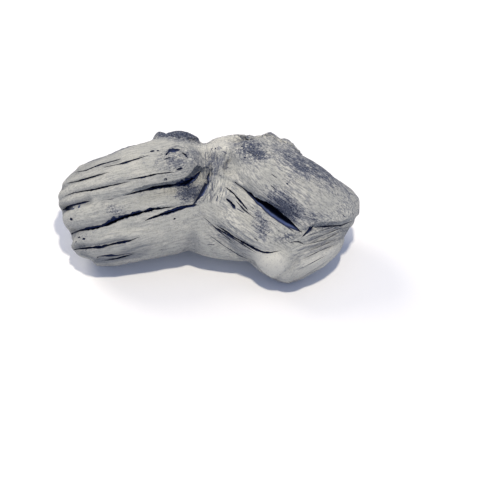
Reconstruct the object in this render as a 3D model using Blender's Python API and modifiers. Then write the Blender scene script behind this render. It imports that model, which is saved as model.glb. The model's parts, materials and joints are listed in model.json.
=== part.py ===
"""A lump of hardwood charcoal: the gnarled end of a branch, split by drying cracks.

The lump is one solid, 181 mm long. On the left is the branch, whose grain runs straight and has
opened in long parallel splits. It ends in a knot that overhangs a broken hollow. A waist joins it
to the burl on the right, a swollen bulge that a wide gash parts from the belly below it.

Run it with: blender --background --python part.py
Lengths are in metres, +Z is up, and the origin is on the ground under the middle of the lump.
"""

import math

import bpy
import numpy as np
from mathutils import Matrix, Vector, noise
from mathutils.bvhtree import BVHTree

MM = 0.001

# The broad face, which has the splits, leans back. U runs along it to the right, V up it, W out of
# it. Each side of the lump has its own axes: along, up and out. A place on a side is where the eye,
# straight in front of that side, sees a point.
FACE_LEAN = math.radians(55)
FACE_U = Vector((1, 0, 0))
FACE_V = Vector((0, math.sin(FACE_LEAN), math.cos(FACE_LEAN)))
FACE_W = Vector((0, -math.cos(FACE_LEAN), math.sin(FACE_LEAN)))
FACE_CENTRE = Vector((0, 0, 32.0 * MM))
EYE_DISTANCE = 1200 * MM
FRONT = (FACE_U, FACE_V, FACE_W)
UNDER = (FACE_U, FACE_V, -FACE_W)
REAR = (FACE_U, FACE_W, FACE_V)
HEEL = (FACE_U, FACE_W, -FACE_V)

CELL = 1.0 * MM  # the fineness of the fused body, before it is thinned
SMOOTH_ROUNDS = 6
BODY_TRIANGLES = 6800  # before the splits are cut
RING_POINTS = 40
STATION_STEP = 2.5 * MM
SPLIT_STEP = 4.5 * MM
SPLIT_RISE = 3.0 * MM  # how far a split's cutter stands out of the surface
SPLIT_FLARE = 1.8  # how wide its top is, and how wide its floor, as shares of the split's width
SPLIT_FLOOR = 0.2
SPLIT_TAPER = 0.6  # how bluntly it tapers to its ends: 1 is a sine, less is blunter
SPLIT_END_WIDTH = 0.25  # how wide and how deep it still is at its ends, as shares
SPLIT_END_DEPTH = 0.3
SPLIT_LEAN = 2.0  # how much all of a split shares one lean, against the surface at each place
LEAST_STATIONS = 4  # along a split
LOBE_SEGMENTS = 40
LOBE_RINGS = 24
CREASE_FALL = 1.2  # how a crease and a step fade to their reach: 2 is round, 1 is sharp
STEP_FALL = 1.3
CREASE_FADE = 0.15  # the share of its length over which a crease, or a step, begins and ends
STEP_FADE = 0.28
STEP_EDGE = 1.4 * MM  # how far a step eats into the hand that keeps its height
SIDE_EDGE = (-0.35, 0.15)  # how far a side reaches round its edge, as a share of facing it
SLAB = 400 * MM
SHARP_ANGLE = math.radians(38)

# Cross-sections of the core, across U, in mm: place, top and bottom edge on the face, how far it
# swells out of the face and behind it, and how far its middle lies out of the face plane.
SECTIONS = (
    (-90.8, 9.5, 1.5, 3.0, 3.0, -1.0),
    (-88.5, 16.5, -5.0, 9.5, 9.0, -1.0),
    (-84.0, 22.0, -16.5, 17.0, 16.0, -1.0),
    (-77.0, 28.4, -26.5, 22.5, 22.0, -1.0),
    (-67.0, 32.4, -36.0, 25.5, 25.0, -1.0),
    (-54.0, 37.6, -35.5, 27.5, 27.0, -1.5),
    (-40.0, 41.6, -32.6, 28.0, 27.0, -2.0),
    (-24.0, 43.5, -28.5, 27.0, 25.5, -2.0),
    (-8.0, 40.5, -29.0, 21.0, 24.0, -2.0),
    (8.0, 42.0, -30.5, 21.5, 24.5, -1.0),
    (24.0, 45.0, -33.0, 23.0, 27.0, 0.0),
    (33.0, 46.0, -39.5, 24.0, 28.5, 0.5),
    (38.5, 45.6, -44.0, 25.0, 29.5, 1.0),
    (42.5, 42.0, -45.4, 25.0, 29.5, 1.2),
    (48.0, 41.2, -46.4, 25.0, 29.0, 1.5),
    (56.0, 33.8, -43.0, 25.0, 28.5, 2.0),
    (70.0, 23.2, -34.6, 22.0, 25.0, 2.5),
    (80.0, 16.4, -24.0, 17.0, 20.0, 3.0),
    (86.5, 11.5, -10.0, 11.0, 12.0, 4.0),
    (90.8, 6.0, -3.0, 3.5, 3.5, 5.0),
)

# Lobes that swell out of the core, in mm and degrees: middle on the face (u, v, w), half lengths
# along, across and out of the face, and the turn in the face.
LOBES = {
    "upper_branch": ((-44.0, 17.0, 4.0), (43.0, 20.0, 26.5), 12.5),
    "branch_end": ((-20.0, 24.0, 8.0), (18.5, 16.5, 19.5), 12.0),
    "lower_branch": ((-48.0, -17.0, 0.0), (36.0, 15.0, 25.0), 9.0),
    "waist": ((5.0, 22.0, 2.0), (16.0, 17.0, 19.0), -60.0),
    "burl": ((51.0, 11.5, 9.5), (42.5, 20.5, 25.0), -31.0),
    "burl_crest": ((24.0, 32.0, 6.0), (15.0, 11.0, 19.0), 20.0),
    "belly": ((27.0, -14.0, 6.0), (34.0, 17.0, 19.0), -33.0),
    "chin": ((43.0, -26.6, 1.5), (22.5, 17.0, 21.5), -25.0),
    "lip": ((60.0, -22.6, 4.5), (24.5, 14.8, 19.0), 28.0),
    "back_crest": ((-19.5, 42.5, -6.0), (15.5, 6.2, 8.5), -4.0),
    "back_shoulder": ((18.0, 34.5, -9.0), (29.0, 12.6, 14.0), 3.0),
    "back_burl": ((30.0, 18.0, -12.0), (38.0, 20.0, 20.0), -10.0),
    "left_heel": ((-48.0, -16.0, -12.0), (22.0, 12.0, 16.0), 8.0),
    "right_heel": ((42.0, -20.0, -12.0), (24.0, 12.0, 17.0), -12.0),
    "rear_heel": ((5.0, 3.0, -23.4), (33.0, 16.0, 15.8), 4.0),
}

# Soft creases pressed into one side, in mm: side, path, reach to each hand and depth.
CREASES = {
    "crease_1": (FRONT, ((-84, 20), (-72, 27), (-62, 31), (-52, 34)), 1.6, 1.6),
    "crease_2": (FRONT, ((-87, 17.5), (-80, 21.5), (-72.5, 23.5), (-50, 30)), 1.7, 2.0),
    "crease_3": (FRONT, ((-91, 11), (-84.5, 15), (-76, 17), (-60, 21)), 1.7, 2.0),
    "crease_4": (FRONT, ((-92, 4.5), (-88, 6.3), (-80, 9.2), (-60, 12.8), (-42, 17)), 1.7, 2.0),
    "crease_5": (FRONT, ((-92, -2), (-86, 0.2), (-80, 2), (-69, 4.5)), 2.4, 4.0),
    "crease_6": (FRONT, ((-90, -16.5), (-83, -15.2), (-74, -13), (-50, -6)), 2.6, 3.0),
    "crease_7": (FRONT, ((-84, -25.2), (-77, -24.3), (-66, -23.6), (-46, -19.7)), 2.6, 3.2),
    "crease_8": (FRONT, ((-70, -33), (-57, -30.7), (-48, -28.4), (-32, -22.8)), 2.4, 2.6),
    "branch_groove": (FRONT, ((-64, 24), (-51, 27), (-36, 31.5)), 2.6, 0.8),
    "knot_arc": (FRONT, ((-26, 30), (-23, 34), (-18, 35.4), (-13.5, 32.5), (-10.5, 28)), 2.4, 1.6),
    "knot_eye": (FRONT, ((-22, 22.5), (-16, 24.5)), 3.0, 1.0),
    "waist_1": (FRONT, ((2, 35), (6, 27), (4, 16)), 4.0, 1.4),
    "waist_2": (FRONT, ((13, 34), (12, 27), (14, 20)), 3.0, 1.6),
    "belly_fold": (FRONT, ((2, -9), (12, -15), (24, -22.5), (33, -27), (44, -26)), 2.6, 2.0),
    "chin_fold": (FRONT, ((4, -16), (14, -23), (24, -29.5), (31, -33)), 2.2, 1.2),
    "lip_fold": (FRONT, ((39, -44), (46.5, -39.5), (52, -34.8), (55, -29.5)), 1.8, 1.8),
    "fan_1": (FRONT, ((56, -24), (66, -18.5), (78, -15.5), (87, -11)), 1.2, 1.6),
    "fan_2": (FRONT, ((56, -27.5), (67, -22.5), (77, -19), (85, -14.5)), 1.2, 1.6),
    "fan_3": (FRONT, ((56.5, -31.5), (67, -27), (79, -21.5)), 1.2, 1.6),
    "under_crease_1": (UNDER, ((-82, 8), (-60, 10), (-38, 13), (-14, 17)), 3.2, 3.0),
    "under_crease_2": (UNDER, ((-84, -8), (-60, -5), (-34, 0), (-16, 3)), 3.4, 3.4),
    "under_waist": (UNDER, ((-8, 34), (-2, 24), (-14, 10), (-10, -10), (-14, -30)), 7.0, 4.0),
    "under_fold_1": (UNDER, ((46, 8), (58, 1), (76, -12)), 3.4, 3.0),
    "under_fold_2": (UNDER, ((26, -6), (40, -14), (56, -28)), 3.2, 2.6),
    "rear_crease_1": (REAR, ((-88, 0), (-70, 3), (-50, 4), (-34, 1)), 3.2, 3.0),
    "rear_crease_2": (REAR, ((-84, -8), (-62, -6), (-40, -6), (-28, -9)), 3.2, 3.4),
    "rear_crease_3": (REAR, ((-78, -16), (-56, -15), (-30, -17)), 3.2, 3.0),
    "rear_waist": (REAR, ((-1, -9), (1, -14), (-5, -24)), 6.0, 4.0),
    "rear_fold_1": (REAR, ((12, 1), (32, -2), (52, 1), (74, -1)), 3.2, 3.2),
    "rear_fold_2": (REAR, ((10, -9), (30, -12), (50, -10), (78, -12)), 3.2, 3.4),
    "rear_fold_3": (REAR, ((20, -19), (42, -21), (66, -18)), 3.2, 3.0),
    "heel_crease_1": (HEEL, ((-80, 8), (-58, 10), (-36, 12)), 3.2, 2.6),
    "heel_crease_2": (HEEL, ((-80, -3), (-56, -1), (-30, -4)), 3.2, 3.0),
    "heel_waist": (HEEL, ((-8, 16), (-12, 0), (-6, -18)), 7.0, 3.0),
    "heel_fold_1": (HEEL, ((22, 10), (40, 2), (58, 4), (76, 10)), 3.2, 2.6),
    "heel_fold_2": (HEEL, ((16, -4), (34, -10), (54, -9)), 3.2, 2.8),
}

# Steps in one side, in mm: side, path, reach and depth. The side to the right of the path, as it
# is walked, drops by the depth and rises again over the reach. The other side keeps its edge.
STEPS = {
    "overhang": (FRONT, ((-44, 9), (-33, 12), (-26.8, 13.1), (-16.7, 14.4), (-11, 16.7),
                         (-6.5, 20), (-3.2, 25)), 8.0, 6.5),
    "branch_rim": (FRONT, ((-6, 20), (-3.2, 25), (-2.2, 31), (-4, 36.5), (-9, 40)), 9.0, 3.2),
    "hollow_wall": (FRONT, ((-0.5, 25), (-1.8, 20), (-5.5, 11), (-9.5, 1.5)), 5.0, 4.0),
    "ledge": (FRONT, ((-55, -7.5), (-42, -3.2), (-31, -0.6), (-20, 0.6), (-8, 2.4)), 8.0, 1.6),
    "gash_edge": (FRONT, ((10, 18), (17.4, 14.8), (25.4, 9.8), (31, 5.6), (38.7, 2.0),
                          (44.8, -2.4), (50, -7.3), (54, -10.4), (58, -13.5)), 9.0, 2.8),
    "burl_foot": (FRONT, ((56, -14.5), (64, -11.2), (74, -10.6), (81, -9.8), (90, -5)), 8.0, 3.4),
    "crest_corner": (FRONT, ((30, 42.5), (26, 41), (21, 38.5), (14.5, 34)), 9.0, 2.0),
    "chin_edge": (FRONT, ((8, -8), (18, -15), (28, -21.5), (33, -24.5)), 8.0, 1.6),
    "rear_step": (REAR, ((-34, -26), (-26, -14), (-30, -4), (-24, 2)), 9.0, 4.0),
    "rear_ledge": (REAR, ((70, -3), (48, -4), (26, -1), (12, 0)), 8.0, 3.0),
}

# Splits that the wood opened as it dried and charred, in mm: side, path, width at the surface and
# depth.
SPLITS = {
    "split_1": (FRONT, ((-79.8, 21.9), (-72.8, 23), (-65.4, 26), (-56.2, 28.5), (-51.6, 29.7)),
                1.3, 4.5),
    "split_2": (FRONT, ((-84.7, 15.2), (-76.4, 16.6), (-66, 19.6), (-58.6, 21.6)), 1.1, 4.0),
    "split_3": (FRONT, ((-62, 24.6), (-50.8, 26.9), (-42, 29.6), (-34.8, 31.9)), 1.7, 5.5),
    "split_4": (FRONT, ((-86, 7.3), (-80.6, 9.2), (-68.2, 11.1), (-55.8, 13.8), (-47, 15.7)),
                1.1, 4.0),
    "split_5": (FRONT, ((-48.3, 16.9), (-39, 18.2), (-29.4, 20.5), (-20, 21.6)), 1.0, 4.0),
    "split_6": (FRONT, ((-88, -0.8), (-85.6, 0.1), (-81, 1.9), (-70.5, 4.2)), 1.9, 5.5),
    "split_7": (FRONT, ((-50.4, 7.4), (-38.6, 10.4), (-32.7, 12.1), (-26.8, 13.1), (-16.7, 14.4),
                        (-11.2, 16.7), (-6, 20.5)), 2.0, 7.0),
    "split_8": (FRONT, ((-87, -16.1), (-83.3, -15.3), (-76.4, -13.3), (-63.6, -11), (-55.3, -7.3),
                        (-42.6, -3.4), (-31.9, -0.7), (-19.7, 0.8)), 2.4, 9.0),
    "split_9": (FRONT, ((-37.3, -7.6), (-28.1, -4.1), (-18.1, -1.1), (-7.2, 2.4)), 2.5, 7.0),
    "split_10": (FRONT, ((-81.6, -24.6), (-76.9, -24.3), (-70, -23.8), (-62.6, -23.3),
                         (-58.1, -22), (-46.1, -19.7), (-40.2, -17.4)), 1.6, 5.5),
    "split_11": (FRONT, ((-62, -31.4), (-54, -30), (-44, -27.2)), 1.1, 3.5),
    "split_12": (FRONT, ((10.9, 12.8), (15.8, 8.8), (20.6, 3.2), (24.6, -1.7)), 1.3, 4.5),
    "split_13": (FRONT, ((11.2, 5.8), (14, 3.6), (16.8, -0.6)), 2.4, 5.0),
    "split_14": (FRONT, ((5.5, -10.2), (14.8, -16.7), (22.8, -21.4), (29.5, -25.1), (33.7, -26.8),
                         (37.9, -26.9), (43.8, -25.8)), 1.5, 5.0),
    "split_15": (FRONT, ((2.2, -10.4), (8.5, -13.7), (21.1, -21.8), (29.5, -27.2)), 1.0, 3.5),
    "curl": (FRONT, ((57.2, -17.4), (60.2, -14.4), (63.6, -11)), 1.9, 4.0),
    "foot_split": (FRONT, ((64, -11.6), (73.9, -10.9), (80.4, -10.6), (87, -7.6)), 1.2, 4.0),
    "rear_split_1": (REAR, ((-82, 1), (-70, 3), (-50, 4), (-38, 2)), 1.6, 6.0),
    "rear_split_2": (REAR, ((-80, -7.6), (-62, -6), (-42, -6)), 2.2, 8.0),
    "rear_split_3": (REAR, ((-70, -15.5), (-56, -15), (-38, -16.4)), 1.5, 5.0),
    "rear_split_4": (REAR, ((16, 0.4), (32, -2), (50, 0.8), (64, 0)), 1.5, 6.0),
    "rear_split_5": (REAR, ((18, -10.4), (32, -12), (48, -10.2), (66, -11.2)), 2.3, 8.0),
    "rear_split_6": (REAR, ((30, -20), (42, -21), (58, -19)), 1.3, 5.0),
    "under_split_1": (UNDER, ((-76, 8.6), (-60, 10), (-38, 13), (-24, 15.3)), 1.8, 6.0),
    "under_split_2": (UNDER, ((-70, -6.4), (-52, -3.6), (-38, -0.8)), 1.8, 6.0),
    "heel_split_1": (HEEL, ((-74, 8.6), (-58, 10), (-42, 11.6)), 1.4, 5.0),
    "heel_split_2": (HEEL, ((-72, -2.4), (-56, -1), (-40, -2.8)), 1.8, 6.0),
}

# The gash between the burl and the belly, in mm: its lower and upper lip, from end to end.
GASH_LOWER = ((16.5, 15.5), (22.2, 10.9), (28.6, 3.6), (38.1, -5.7), (46.8, -11.4), (57, -15))
GASH_UPPER = ((16.5, 15.5), (25.2, 10.0), (30.4, 6.0), (38.8, 2.4), (49.6, -6.6), (57, -15))
GASH_DEPTH = 15.0
GASH_STATIONS = 14
GASH_LEAN = 0.35  # how far its floor runs back under the burl, as a share of its depth
GASH_FLARE = 0.1  # how far its top spreads past each lip, and its floor's half width, as shares
GASH_FLOOR = 0.15
GASH_TAPER = 0.7
GASH_LEAST_GAP = 0.6  # between the lips, at its ends

# Faces where the lump broke from the wood beside it, out of sight in front, in mm: a point (u, v, w)
# on each, and the way that it faces.
BREAKS = {
    "rear_left": ((-58.0, 24.0, -16.0), (-0.30, 0.52, -0.80)),
    "rear_right": ((58.0, 16.0, -14.0), (0.30, 0.60, -0.74)),
    "right_end": ((82.0, -4.0, -8.0), (0.80, -0.10, -0.59)),
}
BREAK_ROUGHNESS = 1.0 * MM
BREAK_GRIT = 8 * MM

SWELL_SIZE = 20 * MM  # broad unevenness of the whole surface
SWELL_DEPTH = 0.7 * MM
RIPPLE_LENGTH = 34 * MM  # ripples that follow the grain
RIPPLE_WIDTH = 5.5 * MM
RIPPLE_DEPTH = 0.35 * MM
BRANCH_GRAIN = math.radians(12.5)
BURL_GRAIN = math.radians(-36)
GRAIN_TURNS = (-14 * MM, 14 * MM)  # the grain turns from the branch's to the burl's between these

CHARCOAL_COLOUR = (0.36, 0.36, 0.35, 1.0)
CHARCOAL_ROUGHNESS = 0.92


def face_point(u, v, w):
    """A point in space from its place on the broad face and its height out of it."""
    return FACE_CENTRE + FACE_U * u + FACE_V * v + FACE_W * w


def side_places(points, side):
    """Where points lie on one side, as the eye in front of it sees them: along and up it."""
    along, up, out = (np.array(axis) for axis in side)
    offset = points - np.array(FACE_CENTRE)
    spread = EYE_DISTANCE / (EYE_DISTANCE - offset @ out)
    return np.stack([offset @ along * spread, offset @ up * spread], axis=1)


def smooth_step(x, low, high):
    """0 below low, 1 above high, and a smooth rise between them."""
    share = np.clip((x - low) / (high - low), 0, 1)
    return share * share * (3 - 2 * share)


def loft(name, rings, collection):
    """A closed tube through rings of equally many points, with a cap at each end."""
    count = len(rings[0])
    points = [tuple(point) for ring in rings for point in ring]
    faces = [tuple(reversed(range(count)))]
    for i in range(len(rings) - 1):
        for j in range(count):
            k = (j + 1) % count
            faces.append((i * count + j, i * count + k, (i + 1) * count + k, (i + 1) * count + j))
    faces.append(tuple(range((len(rings) - 1) * count, len(rings) * count)))
    mesh = bpy.data.meshes.new(name)
    mesh.from_pydata(points, [], faces)
    mesh.update()
    made = bpy.data.objects.new(name, mesh)
    collection.objects.link(made)
    return made


def core(collection):
    """The lump's core, lofted through the cross-sections."""
    table = np.array(SECTIONS) * MM
    steps = round((table[-1, 0] - table[0, 0]) / STATION_STEP)
    rings = []
    for x in np.linspace(table[0, 0], table[-1, 0], steps + 1):
        top, bottom, front, back, out = (np.interp(x, table[:, 0], table[:, i]) for i in range(1, 6))
        ring = []
        for turn in np.linspace(0, 2 * math.pi, RING_POINTS, endpoint=False):
            v = (top + bottom) / 2 + (top - bottom) / 2 * math.cos(turn)
            w = out + (front if math.sin(turn) > 0 else back) * math.sin(turn)
            ring.append(face_point(x, v, w))
        rings.append(ring)
    return loft("core", rings, collection)


def lobe(name, middle, halves, turn, collection):
    """An ellipsoid that swells out of the core, lying in the broad face."""
    bpy.ops.mesh.primitive_uv_sphere_add(segments=LOBE_SEGMENTS, ring_count=LOBE_RINGS, radius=1)
    made = bpy.context.object
    made.name = name
    face_axes = Matrix((FACE_U, FACE_V, FACE_W)).transposed().to_4x4()
    place = Matrix.Translation(face_point(*(value * MM for value in middle))) @ face_axes
    place = place @ Matrix.Rotation(math.radians(turn), 4, "Z")
    made.data.transform(place @ Matrix.Diagonal([value * MM for value in halves] + [1]))
    for owner in list(made.users_collection):
        owner.objects.unlink(made)
    collection.objects.link(made)
    return made


def join(objects):
    """Joins objects in the first of them. Their shells still cross each other."""
    with bpy.context.temp_override(
        active_object=objects[0], selected_editable_objects=objects, selected_objects=objects
    ):
        bpy.ops.object.join()
    return objects[0]


def apply_modifiers(obj):
    """Makes what the modifiers show the object's own mesh."""
    graph = bpy.context.evaluated_depsgraph_get()
    shown = bpy.data.meshes.new_from_object(obj.evaluated_get(graph))
    obj.modifiers.clear()
    old = obj.data
    obj.data = shown
    bpy.data.meshes.remove(old)


def fuse(obj, rounds):
    """Grows crossing shells together as one even skin, and rounds the seams between them."""
    remesh = obj.modifiers.new("fuse", "REMESH")
    remesh.mode = "VOXEL"
    remesh.voxel_size = CELL
    smooth = obj.modifiers.new("round_seams", "SMOOTH")
    smooth.factor = 0.5
    smooth.iterations = rounds
    apply_modifiers(obj)


def read_mesh(obj):
    """The object's points and their normals, as arrays."""
    mesh = obj.data
    points = np.empty(len(mesh.vertices) * 3)
    mesh.vertices.foreach_get("co", points)
    normals = np.empty(len(mesh.vertices) * 3)
    mesh.vertex_normals.foreach_get("vector", normals)
    return points.reshape(-1, 3), normals.reshape(-1, 3)


def push(obj, normals, points, heights):
    """Moves the object's points along their normals."""
    obj.data.vertices.foreach_set("co", (points + normals * heights[:, None]).ravel())
    obj.data.update()


def near_path(places, path):
    """The gap from each place to a path, which hand it is on (1 is right), and how far along."""
    corners = np.array(path) * MM
    runs = np.linalg.norm(np.diff(corners, axis=0), axis=1)
    starts = np.concatenate([[0], np.cumsum(runs)])
    gaps = np.full(len(places), np.inf)
    hands = np.ones(len(places))
    shares = np.zeros(len(places))
    for i, run in enumerate(runs):
        way = (corners[i + 1] - corners[i]) / run
        offset = places - corners[i]
        along = np.clip(offset @ way, 0, run)
        gap = np.linalg.norm(offset - along[:, None] * way, axis=1)
        nearer = gap < gaps
        gaps[nearer] = gap[nearer]
        shares[nearer] = (starts[i] + along[nearer]) / starts[-1]
        hands[nearer] = np.sign(offset @ np.array((way[1], -way[0])))[nearer]
    return gaps, hands, shares


def facing(normals, side):
    """How fully each part of the surface belongs to one side: 1 on it, 0 round its edge."""
    return smooth_step(normals @ np.array(side[2]), *SIDE_EDGE)


def fade(shares, reach):
    """How full a line on the surface is at shares of its length: it begins and ends softly."""
    return smooth_step(shares, -reach / 2, reach) * smooth_step(1 - shares, -reach / 2, reach)


def break_faces(obj):
    """Flattens the surface to the rough broken faces."""
    points, normals = read_mesh(obj)
    for middle, way in BREAKS.values():
        out = FACE_U * way[0] + FACE_V * way[1] + FACE_W * way[2]
        out = np.array(out.normalized())
        start = np.array(face_point(*(value * MM for value in middle)))
        proud = (points - start) @ out
        grit = np.array([noise.noise(Vector(point) / BREAK_GRIT) for point in points - start])
        sunk = np.maximum(proud - grit * BREAK_ROUGHNESS, 0)
        points = points - sunk[:, None] * out
    push(obj, normals, points, np.zeros(len(points)))


def press_creases(obj):
    """Presses the soft creases in, so that what lies between them stands round."""
    points, normals = read_mesh(obj)
    heights = np.zeros(len(points))
    for side, path, reach, depth in CREASES.values():
        gaps, _, shares = near_path(side_places(points, side), path)
        shape = np.exp(-((gaps / (reach * MM)) ** CREASE_FALL))
        ends = fade(shares, CREASE_FADE)
        heights -= depth * MM * shape * ends * facing(normals, side)
    push(obj, normals, points, heights)


def drop_steps(obj):
    """Drops the surface on one hand of each step's path, and leaves an edge on the other hand."""
    points, normals = read_mesh(obj)
    heights = np.zeros(len(points))
    for side, path, reach, depth in STEPS.values():
        gaps, hands, shares = near_path(side_places(points, side), path)
        ends = fade(shares, STEP_FADE)
        low = np.exp(-((gaps / (reach * MM)) ** STEP_FALL))
        edge = np.exp(-((gaps / STEP_EDGE) ** 2))
        heights -= depth * MM * np.where(hands > 0, low, edge) * ends * facing(normals, side)
    push(obj, normals, points, heights)


def roughen(obj):
    """Adds the broad unevenness of the surface, and the ripples that follow the grain."""
    points, normals = read_mesh(obj)
    u, v = side_places(points, FRONT).T
    turned = smooth_step(u, *GRAIN_TURNS)
    angle = BRANCH_GRAIN * (1 - turned) + BURL_GRAIN * turned
    along = (u * np.cos(angle) + v * np.sin(angle)) / RIPPLE_LENGTH
    across = (v * np.cos(angle) - u * np.sin(angle)) / RIPPLE_WIDTH
    out = (points - np.array(FACE_CENTRE)) @ np.array(FACE_W) / RIPPLE_WIDTH
    heights = np.array([
        SWELL_DEPTH * noise.noise((Vector(point) - FACE_CENTRE) / SWELL_SIZE)
        + RIPPLE_DEPTH * noise.noise(Vector(place))
        for point, place in zip(points, np.stack([along, across, out], axis=1))
    ])
    push(obj, normals, points, heights)


def thin(obj):
    """Thins the mesh to the triangles that its shape needs."""
    thinner = obj.modifiers.new("thin", "DECIMATE")
    thinner.ratio = BODY_TRIANGLES / (2 * len(obj.data.polygons))
    apply_modifiers(obj)


def surface_under(tree, side, place):
    """The point of the surface that the eye of one side sees at a place, and its normal."""
    along, up, out = side
    eye = FACE_CENTRE + out * EYE_DISTANCE
    aim = FACE_CENTRE + along * place[0] + up * place[1] - eye
    point, normal, _, _ = tree.ray_cast(eye, aim.normalized())
    return point, normal


def stations(path, count):
    """Evenly spaced places along a path, and the share of its length at each."""
    corners = np.array(path) * MM
    lengths = np.concatenate([[0], np.cumsum(np.linalg.norm(np.diff(corners, axis=0), axis=1))])
    shares = np.linspace(0, 1, count)
    places = [np.interp(shares * lengths[-1], lengths, corners[:, i]) for i in range(2)]
    return list(zip(shares, np.stack(places, axis=1)))


def taper(share, power, margin):
    """How full a split is at a share of its length: 1 in the middle, thinning to both ends."""
    return math.sin(math.pi * min(max(share, margin), 1 - margin)) ** power


def path_length(path):
    """The length of a path."""
    return float(np.linalg.norm(np.diff(np.array(path) * MM, axis=0), axis=1).sum())


def split_cutter(name, tree, side, path, width, depth, collection):
    """A thin wedge that follows a split's path and cuts it, tapering to both ends."""
    count = max(LEAST_STATIONS, round(path_length(path) / SPLIT_STEP) + 1)
    rows = []
    for share, place in stations(path, count):
        point, normal = surface_under(tree, side, place)
        if point is not None:
            rows.append((share, point, normal))
    lean = sum((normal for _, _, normal in rows), Vector()).normalized()
    rings = []
    for i, (share, point, normal) in enumerate(rows):
        way = rows[min(i + 1, len(rows) - 1)][1] - rows[max(i - 1, 0)][1]
        out = (lean * SPLIT_LEAN + normal + side[2]).normalized()
        hand = way.cross(out).normalized()
        swell = max(SPLIT_END_WIDTH, taper(share, SPLIT_TAPER, margin=0.02))
        half = hand * (width * MM * swell / 2)
        top = point + out * SPLIT_RISE
        bottom = point - out * (depth * MM * max(SPLIT_END_DEPTH, swell))
        flare, floor = half * SPLIT_FLARE, half * SPLIT_FLOOR
        rings.append((top - flare, top + flare, bottom + floor, bottom - floor))
    return loft(name, rings, collection)


def gash_cutter(tree, collection):
    """The wedge of the gash: wide at its lips, and running back under the burl to a narrow floor."""
    rings = []
    lower = stations(GASH_LOWER, GASH_STATIONS)
    upper = stations(GASH_UPPER, GASH_STATIONS)
    for (share, low), (_, high) in zip(lower, upper):
        low_point, _ = surface_under(tree, FRONT, low)
        high_point, _ = surface_under(tree, FRONT, high)
        across = high_point - low_point
        if across.length < GASH_LEAST_GAP * MM:
            across = FACE_V * GASH_LEAST_GAP * MM
            high_point = low_point + across
        swell = taper(share, GASH_TAPER, margin=0.04)
        down = (FACE_V * GASH_LEAN - FACE_W) * (GASH_DEPTH * MM * swell)
        floor = (low_point + high_point) / 2 + down
        rise = FACE_W * 2 * SPLIT_RISE
        rings.append((
            low_point - across * GASH_FLARE + rise,
            low_point,
            floor - across * GASH_FLOOR,
            floor + across * GASH_FLOOR,
            high_point,
            high_point + across * GASH_FLARE + rise,
        ))
    return loft("gash", rings, collection)


def cut(obj, cutter):
    """Cuts a cutter's shape out of the object. The exact solver fails where splits run together."""
    boolean = obj.modifiers.new(cutter.name, "BOOLEAN")
    boolean.operation = "DIFFERENCE"
    boolean.solver = "MANIFOLD"
    boolean.object = cutter
    apply_modifiers(obj)


def ground_cutter(collection):
    """A slab under the ground plane, which leaves the low points flat where the lump rests."""
    bpy.ops.mesh.primitive_cube_add(size=1)
    slab = bpy.context.object
    slab.name = "ground"
    slab.data.transform(Matrix.Translation((0, 0, -SLAB / 2)) @ Matrix.Scale(SLAB, 4))
    for owner in list(slab.users_collection):
        owner.objects.unlink(slab)
    collection.objects.link(slab)
    return slab


def charcoal_material():
    """Charcoal under a dusting of pale ash."""
    material = bpy.data.materials.new("ash_dusted_charcoal")
    material.use_nodes = True
    shader = material.node_tree.nodes["Principled BSDF"]
    shader.inputs["Base Color"].default_value = CHARCOAL_COLOUR
    shader.inputs["Roughness"].default_value = CHARCOAL_ROUGHNESS
    shader.inputs["Metallic"].default_value = 0.0
    return material


def set_on_origin(obj):
    """Moves the lump along the ground until the middle of its box is over the origin."""
    points, _ = read_mesh(obj)
    middle = (points.min(axis=0) + points.max(axis=0)) / 2
    obj.data.transform(Matrix.Translation((-middle[0], -middle[1], 0)))


def finish(obj):
    """Gives the lump its material and its shading."""
    obj.data.materials.clear()
    obj.data.materials.append(charcoal_material())
    obj.data.shade_smooth()
    obj.data.set_sharp_from_angle(angle=SHARP_ANGLE)


def main():
    """Builds the lump."""
    for old in list(bpy.data.objects):
        bpy.data.objects.remove(old, do_unlink=True)
    lump_parts = bpy.data.collections.new("charcoal_lump")
    cutters = bpy.data.collections.new("cutters")
    for collection in (lump_parts, cutters):
        bpy.context.scene.collection.children.link(collection)

    shells = [core(lump_parts)]
    shells += [lobe(name, *shape, lump_parts) for name, shape in LOBES.items()]
    lump = join(shells)
    lump.name = "charcoal_lump"
    fuse(lump, rounds=SMOOTH_ROUNDS)
    break_faces(lump)
    drop_steps(lump)
    press_creases(lump)
    roughen(lump)
    fuse(lump, rounds=1)
    thin(lump)

    tree = BVHTree.FromObject(lump, bpy.context.evaluated_depsgraph_get())
    tools = [gash_cutter(tree, cutters)]
    tools += [split_cutter(name, tree, *shape, cutters) for name, shape in SPLITS.items()]
    tools.append(ground_cutter(cutters))
    for tool in tools:
        tool.hide_render = True
        tool.display_type = "WIRE"
        cut(lump, tool)
    set_on_origin(lump)
    finish(lump)


if __name__ == "__main__":
    main()
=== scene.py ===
"""A lump of hardwood charcoal under pale ash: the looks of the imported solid.

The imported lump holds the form: the branch end with its long splits, the knot over a broken hollow,
the waist, and the burl that a gash parts from the belly. This script makes that form again, fine
enough to hold the wood's grain, the strands of its folds, the jagged lips of its splits and its
pits, gives it a finish of ash over char, and sets it on a pale floor under studio light.

Lengths are written in mm in the tables and are metres everywhere else.
"""

import json
import logging
import math
from dataclasses import dataclass, field, replace
from enum import Enum

import bmesh
import bpy
import numpy as np
from mathutils import Matrix, Vector, noise
from mathutils.bvhtree import BVHTree

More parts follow.
